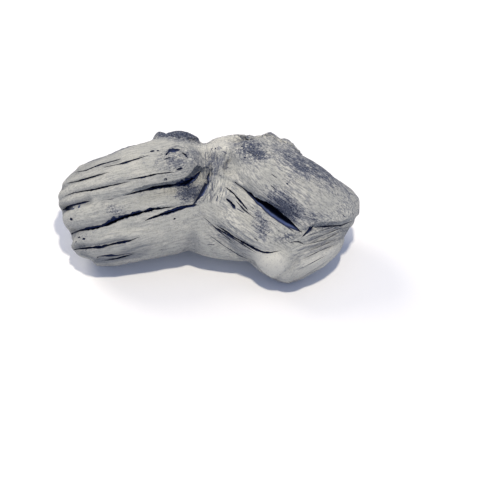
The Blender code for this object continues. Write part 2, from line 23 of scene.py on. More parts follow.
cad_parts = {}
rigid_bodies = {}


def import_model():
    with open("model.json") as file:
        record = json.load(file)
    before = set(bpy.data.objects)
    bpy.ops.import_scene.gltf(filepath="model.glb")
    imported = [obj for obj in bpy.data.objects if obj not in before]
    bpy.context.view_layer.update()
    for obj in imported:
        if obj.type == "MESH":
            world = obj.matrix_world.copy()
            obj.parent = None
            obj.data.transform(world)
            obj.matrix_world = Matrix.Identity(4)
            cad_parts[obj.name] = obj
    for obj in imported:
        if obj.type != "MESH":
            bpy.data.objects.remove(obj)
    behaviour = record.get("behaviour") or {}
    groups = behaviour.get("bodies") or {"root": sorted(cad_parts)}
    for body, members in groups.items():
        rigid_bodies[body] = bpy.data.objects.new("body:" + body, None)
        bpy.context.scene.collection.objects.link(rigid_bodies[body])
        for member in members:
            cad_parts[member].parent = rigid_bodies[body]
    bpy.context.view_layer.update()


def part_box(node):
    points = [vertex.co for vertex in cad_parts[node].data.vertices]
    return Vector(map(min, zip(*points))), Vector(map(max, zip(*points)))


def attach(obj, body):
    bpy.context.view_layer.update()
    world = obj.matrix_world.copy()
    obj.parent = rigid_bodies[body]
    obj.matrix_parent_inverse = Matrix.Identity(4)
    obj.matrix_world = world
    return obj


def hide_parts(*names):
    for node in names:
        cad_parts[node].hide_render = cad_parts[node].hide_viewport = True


LOG = logging.getLogger("charcoal_lump")
MM = 0.001
Place = tuple[float, float]
Trace = tuple[Place, ...]

NODE = "charcoal_lump"
SLOT = "ash_dusted_charcoal"
CREASE_REACHES = 4  # how many reaches from its trace a crease or step still shows
CREASE_FALL = 1.2  # how a crease and a step fade to their reach: 2 is round, 1 is sharp
STEP_FALL = 1.3
LEAST_STATIONS = 6  # the fewest points along a split
LINE_REACH = 0.45  # half the width, in mm, of the painted shade line along a strand's crease
CREASE_FADE = 0.15  # the share of its length over which a crease, or a step, begins and ends
STEP_FADE = 0.28
SIDE_EDGE = (-0.35, 0.15)  # how far a side reaches round its edge, as a share of facing it
ZONE_EDGE = 6.0  # how sharply one grain gives way to the next
ZONE_WAVER = 0.25
ZONE_WAVER_SIZE = 6 * MM
TINY = 1e-9  # keeps the shares of far zones from being nought by nought
FAINT = 0.05  # less crackle, or less of a zone, than this has no relief
FAINT_ZONE = 0.02
PATCH_EDGE = 0.8  # how sharply a patch of soot ends
BARE_PITS = 0.006  # how thickly pits lie on ash, and how much thicker on crackled char
CRACKLE_PITS = 0.5
THICK_HIDES = 0.8  # how much of its streaks thick ash hides
BREAK_ROUGHNESS = 0.6 * MM
BREAK_GRIT = 8 * MM
SPLINTER_ROUGHNESS = 0.3 * MM  # splinters on a broken face, drawn out along the lump
SPLINTER_SIZE = (9.0, 1.6, 1.6)  # in mm
BREAK_NEAR = 3 * MM  # how far under a broken face its roughness is worked out
SWELL_DEPTH = 0.7 * MM  # broad unevenness of the whole surface
SWELL_SIZE = 20 * MM

MATH = "ShaderNodeMath"
VECTOR = "ShaderNodeVectorMath"
NOISE = "ShaderNodeTexNoise"
RANGE = "ShaderNodeMapRange"
MIX = "ShaderNodeMix"
READ = "GeometryNodeInputNamedAttribute"
STORE = "GeometryNodeStoreNamedAttribute"
MOVE = "GeometryNodeSetPosition"
CURVE = "GeometryNodeMeshToCurve"
MIX_UNDER, MIX_OVER, MIXED = 6, 7, 2  # the colour sockets of a mix, which share their names

# The broad face leans back. U runs along it to the right, V up it and W out of it.
FACE_LEAN = math.radians(55)
FACE_U = Vector((1, 0, 0))
FACE_V = Vector((0, math.sin(FACE_LEAN), math.cos(FACE_LEAN)))
FACE_W = Vector((0, -math.cos(FACE_LEAN), math.sin(FACE_LEAN)))
FACE_CENTRE = Vector((0, 0, 32.0 * MM))
EYE_DISTANCE = 1200 * MM


class Side(Enum):
    """A side of the lump. Its value names the axes that run along it, up it and out of it."""

    FRONT = "u v w"
    UNDER = "u v -w"
    REAR = "u w v"
    HEEL = "u w -v"

    def axes(self) -> tuple[Vector, Vector, Vector]:
        """Names the side's axes.

        Returns:
            The axes along it, up it and out of it.
        """
        named = {"u": FACE_U, "v": FACE_V, "w": FACE_W}
        along, up, out = self.value.split()
        way = -named[out[1:]] if out.startswith("-") else named[out]
        return named[along], named[up], way

    def places(self, points: np.ndarray) -> np.ndarray:
        """Where points lie on the side, as the eye in front of it sees them.

        Args:
            points: points in space, one to a row.

        Returns:
            One row for each point: its place along the side and up it.
        """
        along, up, out = (np.array(axis) for axis in self.axes())
        offset = points - np.array(FACE_CENTRE)
        spread = EYE_DISTANCE / (EYE_DISTANCE - offset @ out)
        return np.stack([offset @ along * spread, offset @ up * spread], axis=1)

    def facing(self, normals: np.ndarray) -> np.ndarray:
        """How fully each normal belongs to the side: 1 on it, 0 round its edge."""
        return smooth_step(normals @ np.array(self.axes()[2]), *SIDE_EDGE)

    def surface_at(self, tree: BVHTree, place: np.ndarray) -> tuple[Vector | None, Vector | None]:
        """Finds the surface that the side's eye sees at a place.

        Args:
            tree: the surface.
            place: the place along the side and up it.

        Returns:
            The point and its normal, or None twice where the eye sees past the lump.
        """
        along, up, out = self.axes()
        eye = FACE_CENTRE + out * EYE_DISTANCE
        aim = FACE_CENTRE + along * place[0] + up * place[1] - eye
        point, normal, _, _ = tree.ray_cast(eye, aim.normalized())
        return point, normal


FRONT, UNDER, REAR, HEEL = Side


@dataclass(frozen=True)
class Seen:
    """What a side's eye sees of the surface: each point's place, and how fully it faces the side."""

    places: np.ndarray
    facing: np.ndarray


Sides = dict[Side, Seen]


def see(points: np.ndarray, normals: np.ndarray) -> Sides:
    """Looks at a surface from every side.

    Args:
        points: its points, one to a row.
        normals: their normals.

    Returns:
        What each side's eye sees.
    """
    return {side: Seen(side.places(points), side.facing(normals)) for side in Side}


@dataclass(frozen=True)
class Section:
    """A cross-section of the core, in mm."""

    place: float
    top: float
    bottom: float
    front: float
    back: float
    out: float


@dataclass(frozen=True)
class Lobe:
    """An ellipsoid that swells out of the core, in mm and degrees, lying in the broad face."""

    middle: tuple[float, float, float]
    halves: tuple[float, float, float]
    turn: float


@dataclass(frozen=True)
class Break:
    """A face where the lump broke from the wood beside it: a point on it in mm, and its way."""

    middle: tuple[float, float, float]
    way: tuple[float, float, float]


@dataclass(frozen=True)
class Crease:
    """A soft groove along a trace, in mm. Its fall is how steeply its walls round over."""

    side: Side
    trace: Trace
    reach: float
    depth: float
    fall: float = CREASE_FALL

    def sunk(self, sides: "Sides") -> np.ndarray:
        """Works out how far the groove sinks the surface.

        Args:
            sides: what each side sees of the surface.

        Returns:
            How far each point sinks, in metres.
        """
        seen = sides[self.side]
        sunk = np.zeros(len(seen.places))
        near = near_box(seen.places, self.trace, CREASE_REACHES * self.reach)
        gaps, _, shares = near_trace(seen.places[near], self.trace)
        walls = np.exp(-((gaps / (self.reach * MM)) ** self.fall))
        sunk[near] = self.depth * MM * walls * fade(shares, CREASE_FADE) * seen.facing[near]
        return sunk

    def drawn(self, sides: "Sides") -> np.ndarray:
        """How strongly a fine line of painted shade is drawn along the groove's bottom at each point: 0
        to 1.
        """
        line = replace(self, reach=LINE_REACH, depth=min(1.0, self.depth), fall=2.0)
        return line.sunk(sides) / MM


@dataclass(frozen=True)
class Step:
    """A drop in the surface to the right of a trace, in mm, which rises again over its reach."""

    side: Side
    trace: Trace
    reach: float
    depth: float
    edge: float = 0.7

    def sunk(self, sides: "Sides") -> np.ndarray:
        """Works out how far the step drops the surface.

        Args:
            sides: what each side sees of the surface.

        Returns:
            How far each point drops, in metres.
        """
        seen = sides[self.side]
        sunk = np.zeros(len(seen.places))
        near = near_box(seen.places, self.trace, CREASE_REACHES * self.reach)
        gaps, hands, shares = near_trace(seen.places[near], self.trace)
        ends = fade(shares, STEP_FADE)
        low = np.exp(-((gaps / (self.reach * MM)) ** STEP_FALL))
        edge = np.exp(-((gaps / (self.edge * MM)) ** 2))
        sunk[near] = self.depth * MM * np.where(hands > 0, low, edge) * ends * seen.facing[near]
        return sunk


@dataclass(frozen=True)
class Strands:
    """A sheaf of fine creases that fills the space between two traces, in mm.

    Each crease is up to the shift, a share of their spacing, off its even place, and wavers. The
    starts and ends are shares of the way along the traces, and the depths are shares of the depth.
    """

    side: Side
    first: Trace
    last: Trace
    count: int
    reach: float
    depth: float
    seed: int
    shift: float = 0.3
    waver: float = 0.35
    starts: tuple[float, float] = (0.0, 0.3)
    ends: tuple[float, float] = (0.7, 1.0)
    depths: tuple[float, float] = (0.5, 1.3)
    fall: float = 1.5

    def creases(self) -> list[Crease]:
        """Lays the creases out between the two traces, each a little off its even place.

        Returns:
            The creases.
        """
        draw = np.random.default_rng(self.seed)
        steps = max(len(self.first), len(self.last)) + 2
        first = spread_along(self.first, steps)
        last = spread_along(self.last, steps)
        made = []
        for i in range(self.count):
            share = (i + 0.5 + draw.uniform(-self.shift, self.shift)) / self.count
            start = draw.uniform(*self.starts)
            end = draw.uniform(*self.ends)
            line = first * (1 - share) + last * share
            line = line + draw.normal(0, self.waver, line.shape)
            line = line[round(start * (steps - 1)):round(end * (steps - 1)) + 1]
            if len(line) > 1:
                depth = self.depth * draw.uniform(*self.depths)
                trace = tuple((float(u), float(v)) for u, v in line)
                made.append(Crease(self.side, trace, self.reach, depth, self.fall))
        return made


@dataclass(frozen=True)
class Split:
    """A split that opened as the wood dried and charred: its trace, width and depth, in mm.

    Ragged is how much its width comes and goes along it: at 1 it closes in places.
    """

    side: Side
    trace: Trace
    width: float
    depth: float
    ragged: float = 0.35


@dataclass(frozen=True)
class GrainZone:
    """A part of the broad face whose grain runs one way: its ellipse in mm, and turns in degrees.

    Streaky and nicked say how strongly its grain shows and how thickly fine nicks lie in it.
    """

    middle: Place
    halves: Place
    turn: float
    grain: float
    streaky: float
    nicked: float

    def distance(self, places: np.ndarray) -> np.ndarray:
        """How far out of the ellipse each place is: 0 at its middle, 1 on its edge."""
        return ellipse_distance(places, self.middle, self.halves, self.turn)


class Trait(Enum):
    """What a patch can be. Its value names the patch's field that says how strongly it is so."""

    SOOTY = "strength"
    CRACKLED = "crackled"
    THICK = "thick"


@dataclass(frozen=True)
class SootPatch:
    """A patch where the ash has gone and the char shows, or where the ash lies thick and pale; on some
    patches that paleness is also painted light.

    Its ellipse is in mm and its turn in degrees. It is as sooty, crackled and thick as its
    strengths say.
    """

    side: Side
    middle: Place
    halves: Place
    turn: float
    strength: float
    crackled: float = 0.0
    thick: float = 0.0


CORE = (
    Section(-90.8, 9.5, 1.5, 3.0, 3.0, -1.0),
    Section(-88.5, 16.5, -5.0, 9.5, 9.0, -1.0),
    Section(-84.0, 22.0, -16.5, 17.0, 16.0, -1.0),
    Section(-77.0, 28.4, -26.5, 22.5, 22.0, -1.0),
    Section(-67.0, 32.4, -36.0, 25.5, 25.0, -1.0),
    Section(-54.0, 37.6, -35.5, 27.5, 27.0, -1.5),
    Section(-40.0, 41.6, -32.6, 28.0, 27.0, -2.0),
    Section(-24.0, 43.5, -28.5, 27.0, 25.5, -2.0),
    Section(-8.0, 40.5, -29.0, 21.0, 24.0, -2.0),
    Section(8.0, 42.0, -30.5, 21.5, 24.5, -1.0),
    Section(24.0, 45.0, -33.0, 23.0, 27.0, 0.0),
    Section(33.0, 46.0, -39.5, 24.0, 28.5, 0.5),
    Section(38.5, 45.6, -44.0, 25.0, 29.5, 1.0),
    Section(42.5, 42.0, -45.4, 25.0, 29.5, 1.2),
    Section(48.0, 41.2, -46.4, 25.0, 29.0, 1.5),
    Section(56.0, 33.8, -43.0, 25.0, 28.5, 2.0),
    Section(70.0, 23.2, -34.6, 22.0, 25.0, 2.5),
    Section(80.0, 16.4, -24.0, 17.0, 20.0, 3.0),
    Section(86.5, 11.5, -10.0, 11.0, 12.0, 4.0),
    Section(90.8, 6.0, -3.0, 3.5, 3.5, 5.0),
)

LOBES = {
    "upper_branch": Lobe((-44.0, 17.0, 4.0), (43.0, 20.0, 26.5), 12.5),
    "branch_end": Lobe((-20.0, 24.0, 8.0), (18.5, 16.5, 19.5), 12.0),
    "lower_branch": Lobe((-48.0, -17.0, 0.0), (36.0, 15.0, 25.0), 9.0),
    "waist": Lobe((5.0, 22.0, 2.0), (16.0, 17.0, 19.0), -60.0),
    "burl": Lobe((51.0, 11.5, 9.5), (42.5, 20.5, 25.0), -31.0),
    "burl_crest": Lobe((24.0, 32.0, 6.0), (15.0, 11.0, 19.0), 20.0),
    "belly": Lobe((27.0, -14.0, 6.0), (34.0, 17.0, 19.0), -33.0),
    "chin": Lobe((43.0, -26.6, 1.5), (22.5, 17.0, 21.5), -25.0),
    "lip": Lobe((60.0, -22.6, 4.5), (24.5, 14.8, 19.0), 28.0),
    "back_crest": Lobe((-19.5, 42.5, -6.0), (15.5, 6.2, 8.5), -4.0),
    "back_shoulder": Lobe((18.0, 34.5, -9.0), (29.0, 12.6, 14.0), 3.0),
    "back_burl": Lobe((30.0, 18.0, -12.0), (38.0, 20.0, 20.0), -10.0),
    "left_heel": Lobe((-48.0, -16.0, -12.0), (22.0, 12.0, 16.0), 8.0),
    "right_heel": Lobe((42.0, -20.0, -12.0), (24.0, 12.0, 17.0), -12.0),
    "rear_heel": Lobe((5.0, 3.0, -23.4), (33.0, 16.0, 15.8), 4.0),
}

BREAKS = (
    Break((-58.0, 24.0, -16.0), (-0.30, 0.52, -0.80)),
    Break((58.0, 16.0, -14.0), (0.30, 0.60, -0.74)),
    Break((82.0, -4.0, -8.0), (0.80, -0.10, -0.59)),
)

STEPS = (
    Step(FRONT, ((-44, 9), (-33, 12), (-26.8, 13.1), (-16.7, 14.4), (-11, 16.7), (-6.5, 20),
                 (-3.2, 25)), 8.0, 6.5),
    Step(FRONT, ((-6, 20), (-3.2, 25), (-2.2, 31), (-4, 36.5), (-9, 40)), 9.0, 3.2),
    Step(FRONT, ((-0.5, 25), (-1.8, 20), (-5.5, 11), (-9.5, 1.5)), 5.0, 4.0),
    Step(FRONT, ((-55, -7.5), (-42, -3.2), (-31, -0.6), (-20, 0.6), (-8, 2.4)), 8.0, 1.6),
    Step(FRONT, ((10, 18), (17.4, 14.8), (25.4, 9.8), (31, 5.6), (38.7, 2.0), (44.8, -2.4),
                 (50, -7.3), (54, -10.4), (58, -13.5)), 9.0, 2.8),
    Step(FRONT, ((56, -14.5), (64, -11.2), (74, -10.6), (81, -9.8), (90, -5)), 8.0, 3.4),
    Step(FRONT, ((30, 42.5), (26, 41), (21, 38.5), (14.5, 34)), 9.0, 2.0),
    Step(FRONT, ((8, -8), (18, -15), (28, -21.5), (33, -24.5)), 8.0, 1.6),
    Step(REAR, ((-34, -26), (-26, -14), (-30, -4), (-24, 2)), 9.0, 4.0),
    Step(REAR, ((70, -3), (48, -4), (26, -1), (12, 0)), 8.0, 3.0, 2.6),
)

CREASES = (
    Crease(FRONT, ((-84, 20), (-72, 27), (-62, 31), (-52, 34)), 1.6, 1.6),
    Crease(FRONT, ((-87, 17.5), (-80, 21.5), (-72.5, 23.5), (-50, 30)), 1.7, 2.0),
    Crease(FRONT, ((-91, 11), (-84.5, 15), (-76, 17), (-60, 21)), 1.7, 2.0),
    Crease(FRONT, ((-92, 4.5), (-88, 6.3), (-80, 9.2), (-60, 12.8), (-42, 17)), 1.7, 2.0),
    Crease(FRONT, ((-92, -2), (-86, 0.2), (-80, 2), (-69, 4.5)), 2.4, 4.0),
    Crease(FRONT, ((-90, -16.5), (-83, -15.2), (-74, -13), (-50, -6)), 2.6, 3.0),
    Crease(FRONT, ((-84, -25.2), (-77, -24.3), (-66, -23.6), (-46, -19.7)), 2.6, 3.2),
    Crease(FRONT, ((-70, -33), (-57, -30.7), (-48, -28.4), (-32, -22.8)), 2.4, 2.6),
    Crease(FRONT, ((-64, 24), (-51, 27), (-36, 31.5)), 2.6, 0.8),
    Crease(FRONT, ((-26, 30), (-23, 34), (-18, 35.4), (-13.5, 32.5), (-10.5, 28)), 2.4, 1.6),
    Crease(FRONT, ((-22, 22.5), (-16, 24.5)), 3.0, 1.0),
    Crease(FRONT, ((2, 35), (6, 27), (4, 16)), 4.0, 1.4),
    Crease(FRONT, ((13, 34), (12, 27), (14, 20)), 3.0, 1.6),
    Crease(FRONT, ((2, -9), (12, -15), (24, -22.5), (33, -27), (44, -26)), 2.6, 2.0),
    Crease(FRONT, ((4, -16), (14, -23), (24, -29.5), (31, -33)), 2.2, 1.2),
    Crease(FRONT, ((39, -44), (46.5, -39.5), (52, -34.8), (55, -29.5)), 1.8, 1.8),
    Crease(FRONT, ((56, -24), (66, -18.5), (78, -15.5), (87, -11)), 1.2, 1.6),
    Crease(FRONT, ((56, -27.5), (67, -22.5), (77, -19), (85, -14.5)), 1.2, 1.6),
    Crease(FRONT, ((56.5, -31.5), (67, -27), (79, -21.5)), 1.2, 1.6),
    Crease(UNDER, ((-82, 8), (-60, 10), (-38, 13), (-14, 17)), 3.2, 3.0),
    Crease(UNDER, ((-84, -8), (-60, -5), (-34, 0), (-16, 3)), 3.4, 3.4),
    Crease(UNDER, ((-8, 34), (-2, 24), (-14, 10), (-10, -10), (-14, -30)), 7.0, 4.0),
    Crease(UNDER, ((46, 8), (58, 1), (76, -12)), 3.4, 3.0),
    Crease(UNDER, ((26, -6), (40, -14), (56, -28)), 3.2, 2.6),
    Crease(REAR, ((-88, 0), (-70, 3), (-50, 4), (-34, 1)), 3.2, 3.0),
    Crease(REAR, ((-84, -8), (-62, -6), (-40, -6), (-28, -9)), 3.2, 3.4),
    Crease(REAR, ((-78, -16), (-56, -15), (-30, -17)), 3.2, 3.0),
    Crease(REAR, ((-1, -9), (1, -14), (-5, -24)), 6.0, 4.0),
    Crease(REAR, ((12, 1), (32, -2), (52, 1), (74, -1)), 3.2, 3.2),
    Crease(REAR, ((10, -9), (30, -12), (50, -10), (78, -12)), 3.2, 3.4),
    Crease(REAR, ((20, -19), (42, -21), (66, -18)), 3.2, 3.0),
    Crease(HEEL, ((-80, 8), (-58, 10), (-36, 12)), 3.2, 2.6),
    Crease(HEEL, ((-80, -3), (-56, -1), (-30, -4)), 3.2, 3.0),
    Crease(HEEL, ((-8, 16), (-12, 0), (-6, -18)), 7.0, 3.0),
    Crease(HEEL, ((22, 10), (40, 2), (58, 4), (76, 10)), 3.2, 2.6),
    Crease(HEEL, ((16, -4), (34, -10), (54, -9)), 3.2, 2.8),
)

# Where the splits run out over the left end and notch its edge.
END_NOTCHES = (
    Crease(FRONT, ((-104, 8), (-94, 10.6), (-87, 14)), 1.5, 1.8),
    Crease(FRONT, ((-104, -6), (-92, -2), (-84, 0.8)), 2.2, 4.2),
    Crease(FRONT, ((-102, -20), (-89, -16.4), (-80, -14.8)), 2.0, 2.6),
    Crease(FRONT, ((-98, -28), (-84, -25.2), (-74, -24)), 2.2, 2.8),
)

STRANDS = (
    Strands(FRONT, ((-28, 28), (-24, 36), (-16, 38), (-8, 33)),
            ((-22, 27), (-20, 30), (-17, 31), (-13, 28)), 5, 0.7, 0.8, 11),
    Strands(FRONT, ((-30, 14), (-29, 5)), ((-9, 16), (-12, 4)), 7, 0.6, 0.5, 12),
    Strands(FRONT, ((-3, 40), (-2, 30), (-1, 20)), ((15, 35), (13, 28), (10, 18)), 12, 0.6, 1.2, 13),
    Strands(FRONT, ((0, 20), (2, 12), (-4, 2)), ((12, 18), (12, 12), (6, 4)), 7, 0.6, 0.8, 14),
    Strands(FRONT, ((0, -6), (12, -14), (28, -24), (43, -27)),
            ((-4, -15), (10, -25), (24, -34), (34, -40)), 8, 0.6, 0.55, 15),
    Strands(FRONT, ((54, -18), (70, -13.5), (89, -8)),
            ((50, -36), (64, -32), (78, -25)), 16, 0.6, 0.65, 16),
    Strands(FRONT, ((15, 27), (36, 12), (60, -6), (82, -8)),
            ((34, 44), (54, 32), (72, 18), (88, 6)), 14, 0.8, 0.45, 17),
    Strands(FRONT, ((14, 10), (26, -2), (40, -12), (52, -18)),
            ((2, -4), (14, -12), (28, -20), (42, -24)), 9, 0.7, 0.4, 18),
    Strands(FRONT, ((-88, 2), (-60, 8), (-34, 14)), ((-86, -14), (-56, -6), (-22, 2)), 9, 0.7, 0.4, 19),
    Strands(FRONT, ((-80, 24), (-54, 34), (-30, 41)), ((-88, 8), (-60, 16), (-26, 24)), 10, 0.7, 0.4, 20),
    Strands(FRONT, ((-84, -18), (-56, -12), (-24, -4)),
            ((-70, -34), (-46, -28), (-20, -20)), 9, 0.7, 0.4, 21),
    Strands(REAR, ((-84, 6), (-58, 8), (-34, 6)), ((-76, -22), (-52, -21), (-28, -23)), 12, 0.8, 0.6, 22),
    Strands(REAR, ((12, 8), (40, 6), (78, 6)), ((14, -24), (42, -25), (72, -22)), 13, 0.8, 0.6, 23),
    Strands(HEEL, ((-82, 12), (-56, 14), (-30, 14)),
            ((-76, -10), (-52, -10), (-26, -12)), 9, 0.8, 0.6, 24),
    Strands(HEEL, ((10, 10), (44, 10), (78, 14)), ((12, -12), (42, -15), (66, -12)), 9, 0.8, 0.6, 25),
)

SPLITS = {
    "split_1": Split(FRONT, ((-79.8, 21.9), (-72.8, 23), (-65.4, 26), (-56.2, 28.5), (-51.6, 29.7)),
                            1.3, 4.5),
    "split_2": Split(FRONT, ((-84.7, 15.2), (-76.4, 16.6), (-66, 19.6), (-58.6, 21.6)), 1.1, 4.0),
    "split_3": Split(FRONT, ((-62, 24.6), (-50.8, 26.9), (-42, 29.6), (-34.8, 31.9)), 1.7, 5.5),
    "split_4": Split(FRONT, ((-86, 7.3), (-80.6, 9.2), (-68.2, 11.1), (-55.8, 13.8), (-47, 15.7)),
                            1.1, 4.0),
    "split_5": Split(FRONT, ((-48.3, 16.9), (-39, 18.2), (-29.4, 20.5), (-20, 21.6)), 1.0, 4.0),
    "split_6": Split(FRONT, ((-88, -0.8), (-85.6, 0.1), (-81, 1.9), (-70.5, 4.2)), 1.9, 5.5),
    "split_7": Split(FRONT, ((-50.4, 7.4), (-38.6, 10.4), (-32.7, 12.1), (-26.8, 13.1),
                             (-16.7, 14.4), (-11.2, 16.7), (-6, 20.5)), 2.0, 7.0),
    "split_8": Split(FRONT, ((-87, -16.1), (-83.3, -15.3), (-76.4, -13.3), (-63.6, -11),
                             (-55.3, -7.3), (-42.6, -3.4), (-31.9, -0.7), (-19.7, 0.8)), 2.4, 9.0),
    "split_9": Split(FRONT, ((-37.3, -7.6), (-28.1, -4.1), (-18.1, -1.1), (-7.2, 2.4)), 2.5, 7.0),
    "split_10": Split(FRONT, ((-81.6, -24.6), (-76.9, -24.3), (-70, -23.8), (-62.6, -23.3),
                              (-58.1, -22), (-46.1, -19.7), (-40.2, -17.4)), 1.6, 5.5),
    "split_11": Split(FRONT, ((-62, -31.4), (-54, -30), (-44, -27.2)), 1.1, 3.5),
    "split_12": Split(FRONT, ((10.9, 12.8), (15.8, 8.8), (20.6, 3.2), (24.6, -1.7)), 1.3, 4.5),
    "split_13": Split(FRONT, ((11.2, 5.8), (14, 3.6), (16.8, -0.6)), 2.4, 5.0),
    "split_14": Split(FRONT, ((5.5, -10.2), (14.8, -16.7), (22.8, -21.4), (29.5, -25.1),
                              (33.7, -26.8), (37.9, -26.9), (43.8, -25.8)), 1.5, 5.0),
    "split_15": Split(FRONT, ((2.2, -10.4), (8.5, -13.7), (21.1, -21.8), (29.5, -27.2)), 1.0, 3.5),
    "curl": Split(FRONT, ((57.2, -17.4), (60.2, -14.4), (63.6, -11)), 1.9, 4.0),
    "foot_split": Split(FRONT, ((64, -11.6), (73.9, -10.9), (80.4, -10.6), (87, -7.6)), 1.2, 4.0),
    "rear_split_1": Split(REAR, ((-82, 1), (-70, 3), (-50, 4), (-38, 2)), 1.6, 6.0),
    "rear_split_2": Split(REAR, ((-80, -7.6), (-62, -6), (-42, -6)), 2.2, 8.0),
    "rear_split_3": Split(REAR, ((-70, -15.5), (-56, -15), (-38, -16.4)), 1.5, 5.0),
    "rear_split_4": Split(REAR, ((16, 0.4), (32, -2), (50, 0.8), (64, 0)), 1.5, 6.0),
    "rear_split_5": Split(REAR, ((18, -10.4), (32, -12), (48, -10.2), (66, -11.2)), 2.3, 8.0),
    "rear_split_6": Split(REAR, ((30, -20), (42, -21), (58, -19)), 1.3, 5.0),
    "under_split_1": Split(UNDER, ((-76, 8.6), (-60, 10), (-38, 13), (-24, 15.3)), 1.8, 6.0),
    "under_split_2": Split(UNDER, ((-70, -6.4), (-52, -3.6), (-38, -0.8)), 1.8, 6.0),
    "heel_split_1": Split(HEEL, ((-74, 8.6), (-58, 10), (-42, 11.6)), 1.4, 5.0),
    "heel_split_2": Split(HEEL, ((-72, -2.4), (-56, -1), (-40, -2.8)), 1.8, 6.0),
}

FINE_SPLITS = {
    "throat": Split(FRONT, ((-21, 14), (-13.5, 15.4), (-8, 18.4), (-4.2, 22.6)), 3.6, 7.0),
    "ledge_gap": Split(FRONT, ((-24, -2.4), (-16.4, 0.2), (-11, 1.4), (-6.4, 2)), 3.4, 5.0),
    "hollow_edge": Split(FRONT, ((1, 22), (-0.6, 16), (-2.6, 11), (-5.2, 6.4), (-8.8, 2)), 3.2, 4.5),
    "knot_dash_1": Split(FRONT, ((-25.6, 29.4), (-23.8, 30.2), (-22, 30.4)), 1.5, 2.1),
    "knot_dash_2": Split(FRONT, ((-18.4, 23.1), (-16.6, 23.4), (-14.6, 24.1)), 1.7, 2.3),
    "knot_arc": Split(FRONT, ((-25, 31.8), (-22.8, 34.4), (-19.6, 35.4), (-16.2, 35.2)), 3.4, 3.0),
    "knot_side": Split(FRONT, ((-15.4, 33.6), (-13, 32), (-11.4, 29.8)), 1.4, 1.8),
    "branch_pit_1": Split(FRONT, ((-34.4, 34), (-32.9, 34.5), (-31.6, 34.8)), 2.4, 2.9),
    "branch_pit_2": Split(FRONT, ((-30.4, 34.6), (-29.8, 34.7), (-29, 35)), 1.8, 2.3),
    "branch_pit_3": Split(FRONT, ((-26, 16.8), (-25, 17.2), (-23.8, 17.2)), 1.5, 1.6),
    "branch_pit_4": Split(FRONT, ((-82.6, -6.9), (-81.6, -6.7), (-80.8, -6.5)), 1.7, 1.8),
    "branch_pit_5": Split(FRONT, ((-77.8, -17.8), (-77, -17.5), (-76.2, -17.4)), 1.2, 1.4),
    "branch_pit_6": Split(FRONT, ((-75.2, -18.8), (-74.2, -18.5), (-73.2, -18.4)), 1.1, 1.4),
    "branch_pit_7": Split(FRONT, ((-20.4, -6.8), (-19.6, -6.5), (-18.9, -6.3)), 1.4, 1.6),
    "belly_line_1": Split(FRONT, ((-3, -4.8), (3.6, -10.6), (10.4, -16.8), (18, -22.4)), 0.7, 1.4),
    "belly_line_2": Split(FRONT, ((1, -16), (9, -22), (19, -28.4), (28.6, -32)), 0.7, 1.4),
    "gash_edge_line": Split(FRONT, ((17, 4.6), (22.6, -1.6), (29, -6.4)), 0.8, 2.0),
    "fan_line_1": Split(FRONT, ((58.8, -17.6), (70, -13.2), (84.2, -8.7)), 0.54, 2.0),
    "fan_line_2": Split(FRONT, ((60.2, -19.9), (72.2, -15.4), (83.4, -10.2)), 0.48, 1.8),
    "fan_line_3": Split(FRONT, ((59.5, -22.1), (70.7, -19.1), (79.7, -13.9)), 0.48, 1.8),
    "fan_line_4": Split(FRONT, ((61, -25.8), (69, -22.6), (77, -18.6)), 0.42, 1.6),
    "fan_line_5": Split(FRONT, ((57, -31), (66, -26.6), (76, -22)), 0.42, 1.6),
    "fan_line_6": Split(FRONT, ((54, -37.6), (63, -33), (72.4, -27.8)), 0.48, 1.6),
    "star": Split(FRONT, ((50.4, -20.6), (55, -20.4), (58.6, -22.2)), 0.8, 1.8),
}

# The lips of the gash, from its upper end to its lower one.
GASH_LOWER = ((16.5, 15.5), (22.2, 10.9), (28.6, 3.6), (38.1, -5.7), (46.8, -11.4), (57, -15))
GASH_UPPER = ((16.5, 15.5), (25.2, 10.0), (30.4, 6.0), (38.8, 2.4), (49.6, -6.6), (57, -15))

ZONES = {
    "branch": GrainZone((-50.0, 3.0), (46.0, 44.0), 0.0, 12.5, 0.2, 0.15),
    "waist": GrainZone((3.0, 19.0), (9.0, 24.0), 8.0, 82.0, 0.8, 0.9),
    "burl": GrainZone((51.0, 13.0), (44.0, 20.0), -31.0, -37.0, 0.7, 0.4),
    "belly": GrainZone((24.0, -12.0), (34.0, 14.0), -33.0, -34.0, 0.5, 0.35),
    "chin": GrainZone((38.0, -35.0), (15.0, 8.0), -12.0, 60.0, 0.2, 0.05),
    "fold": GrainZone((69.0, -22.0), (25.0, 12.0), 28.0, 26.0, 0.65, 0.25),
}

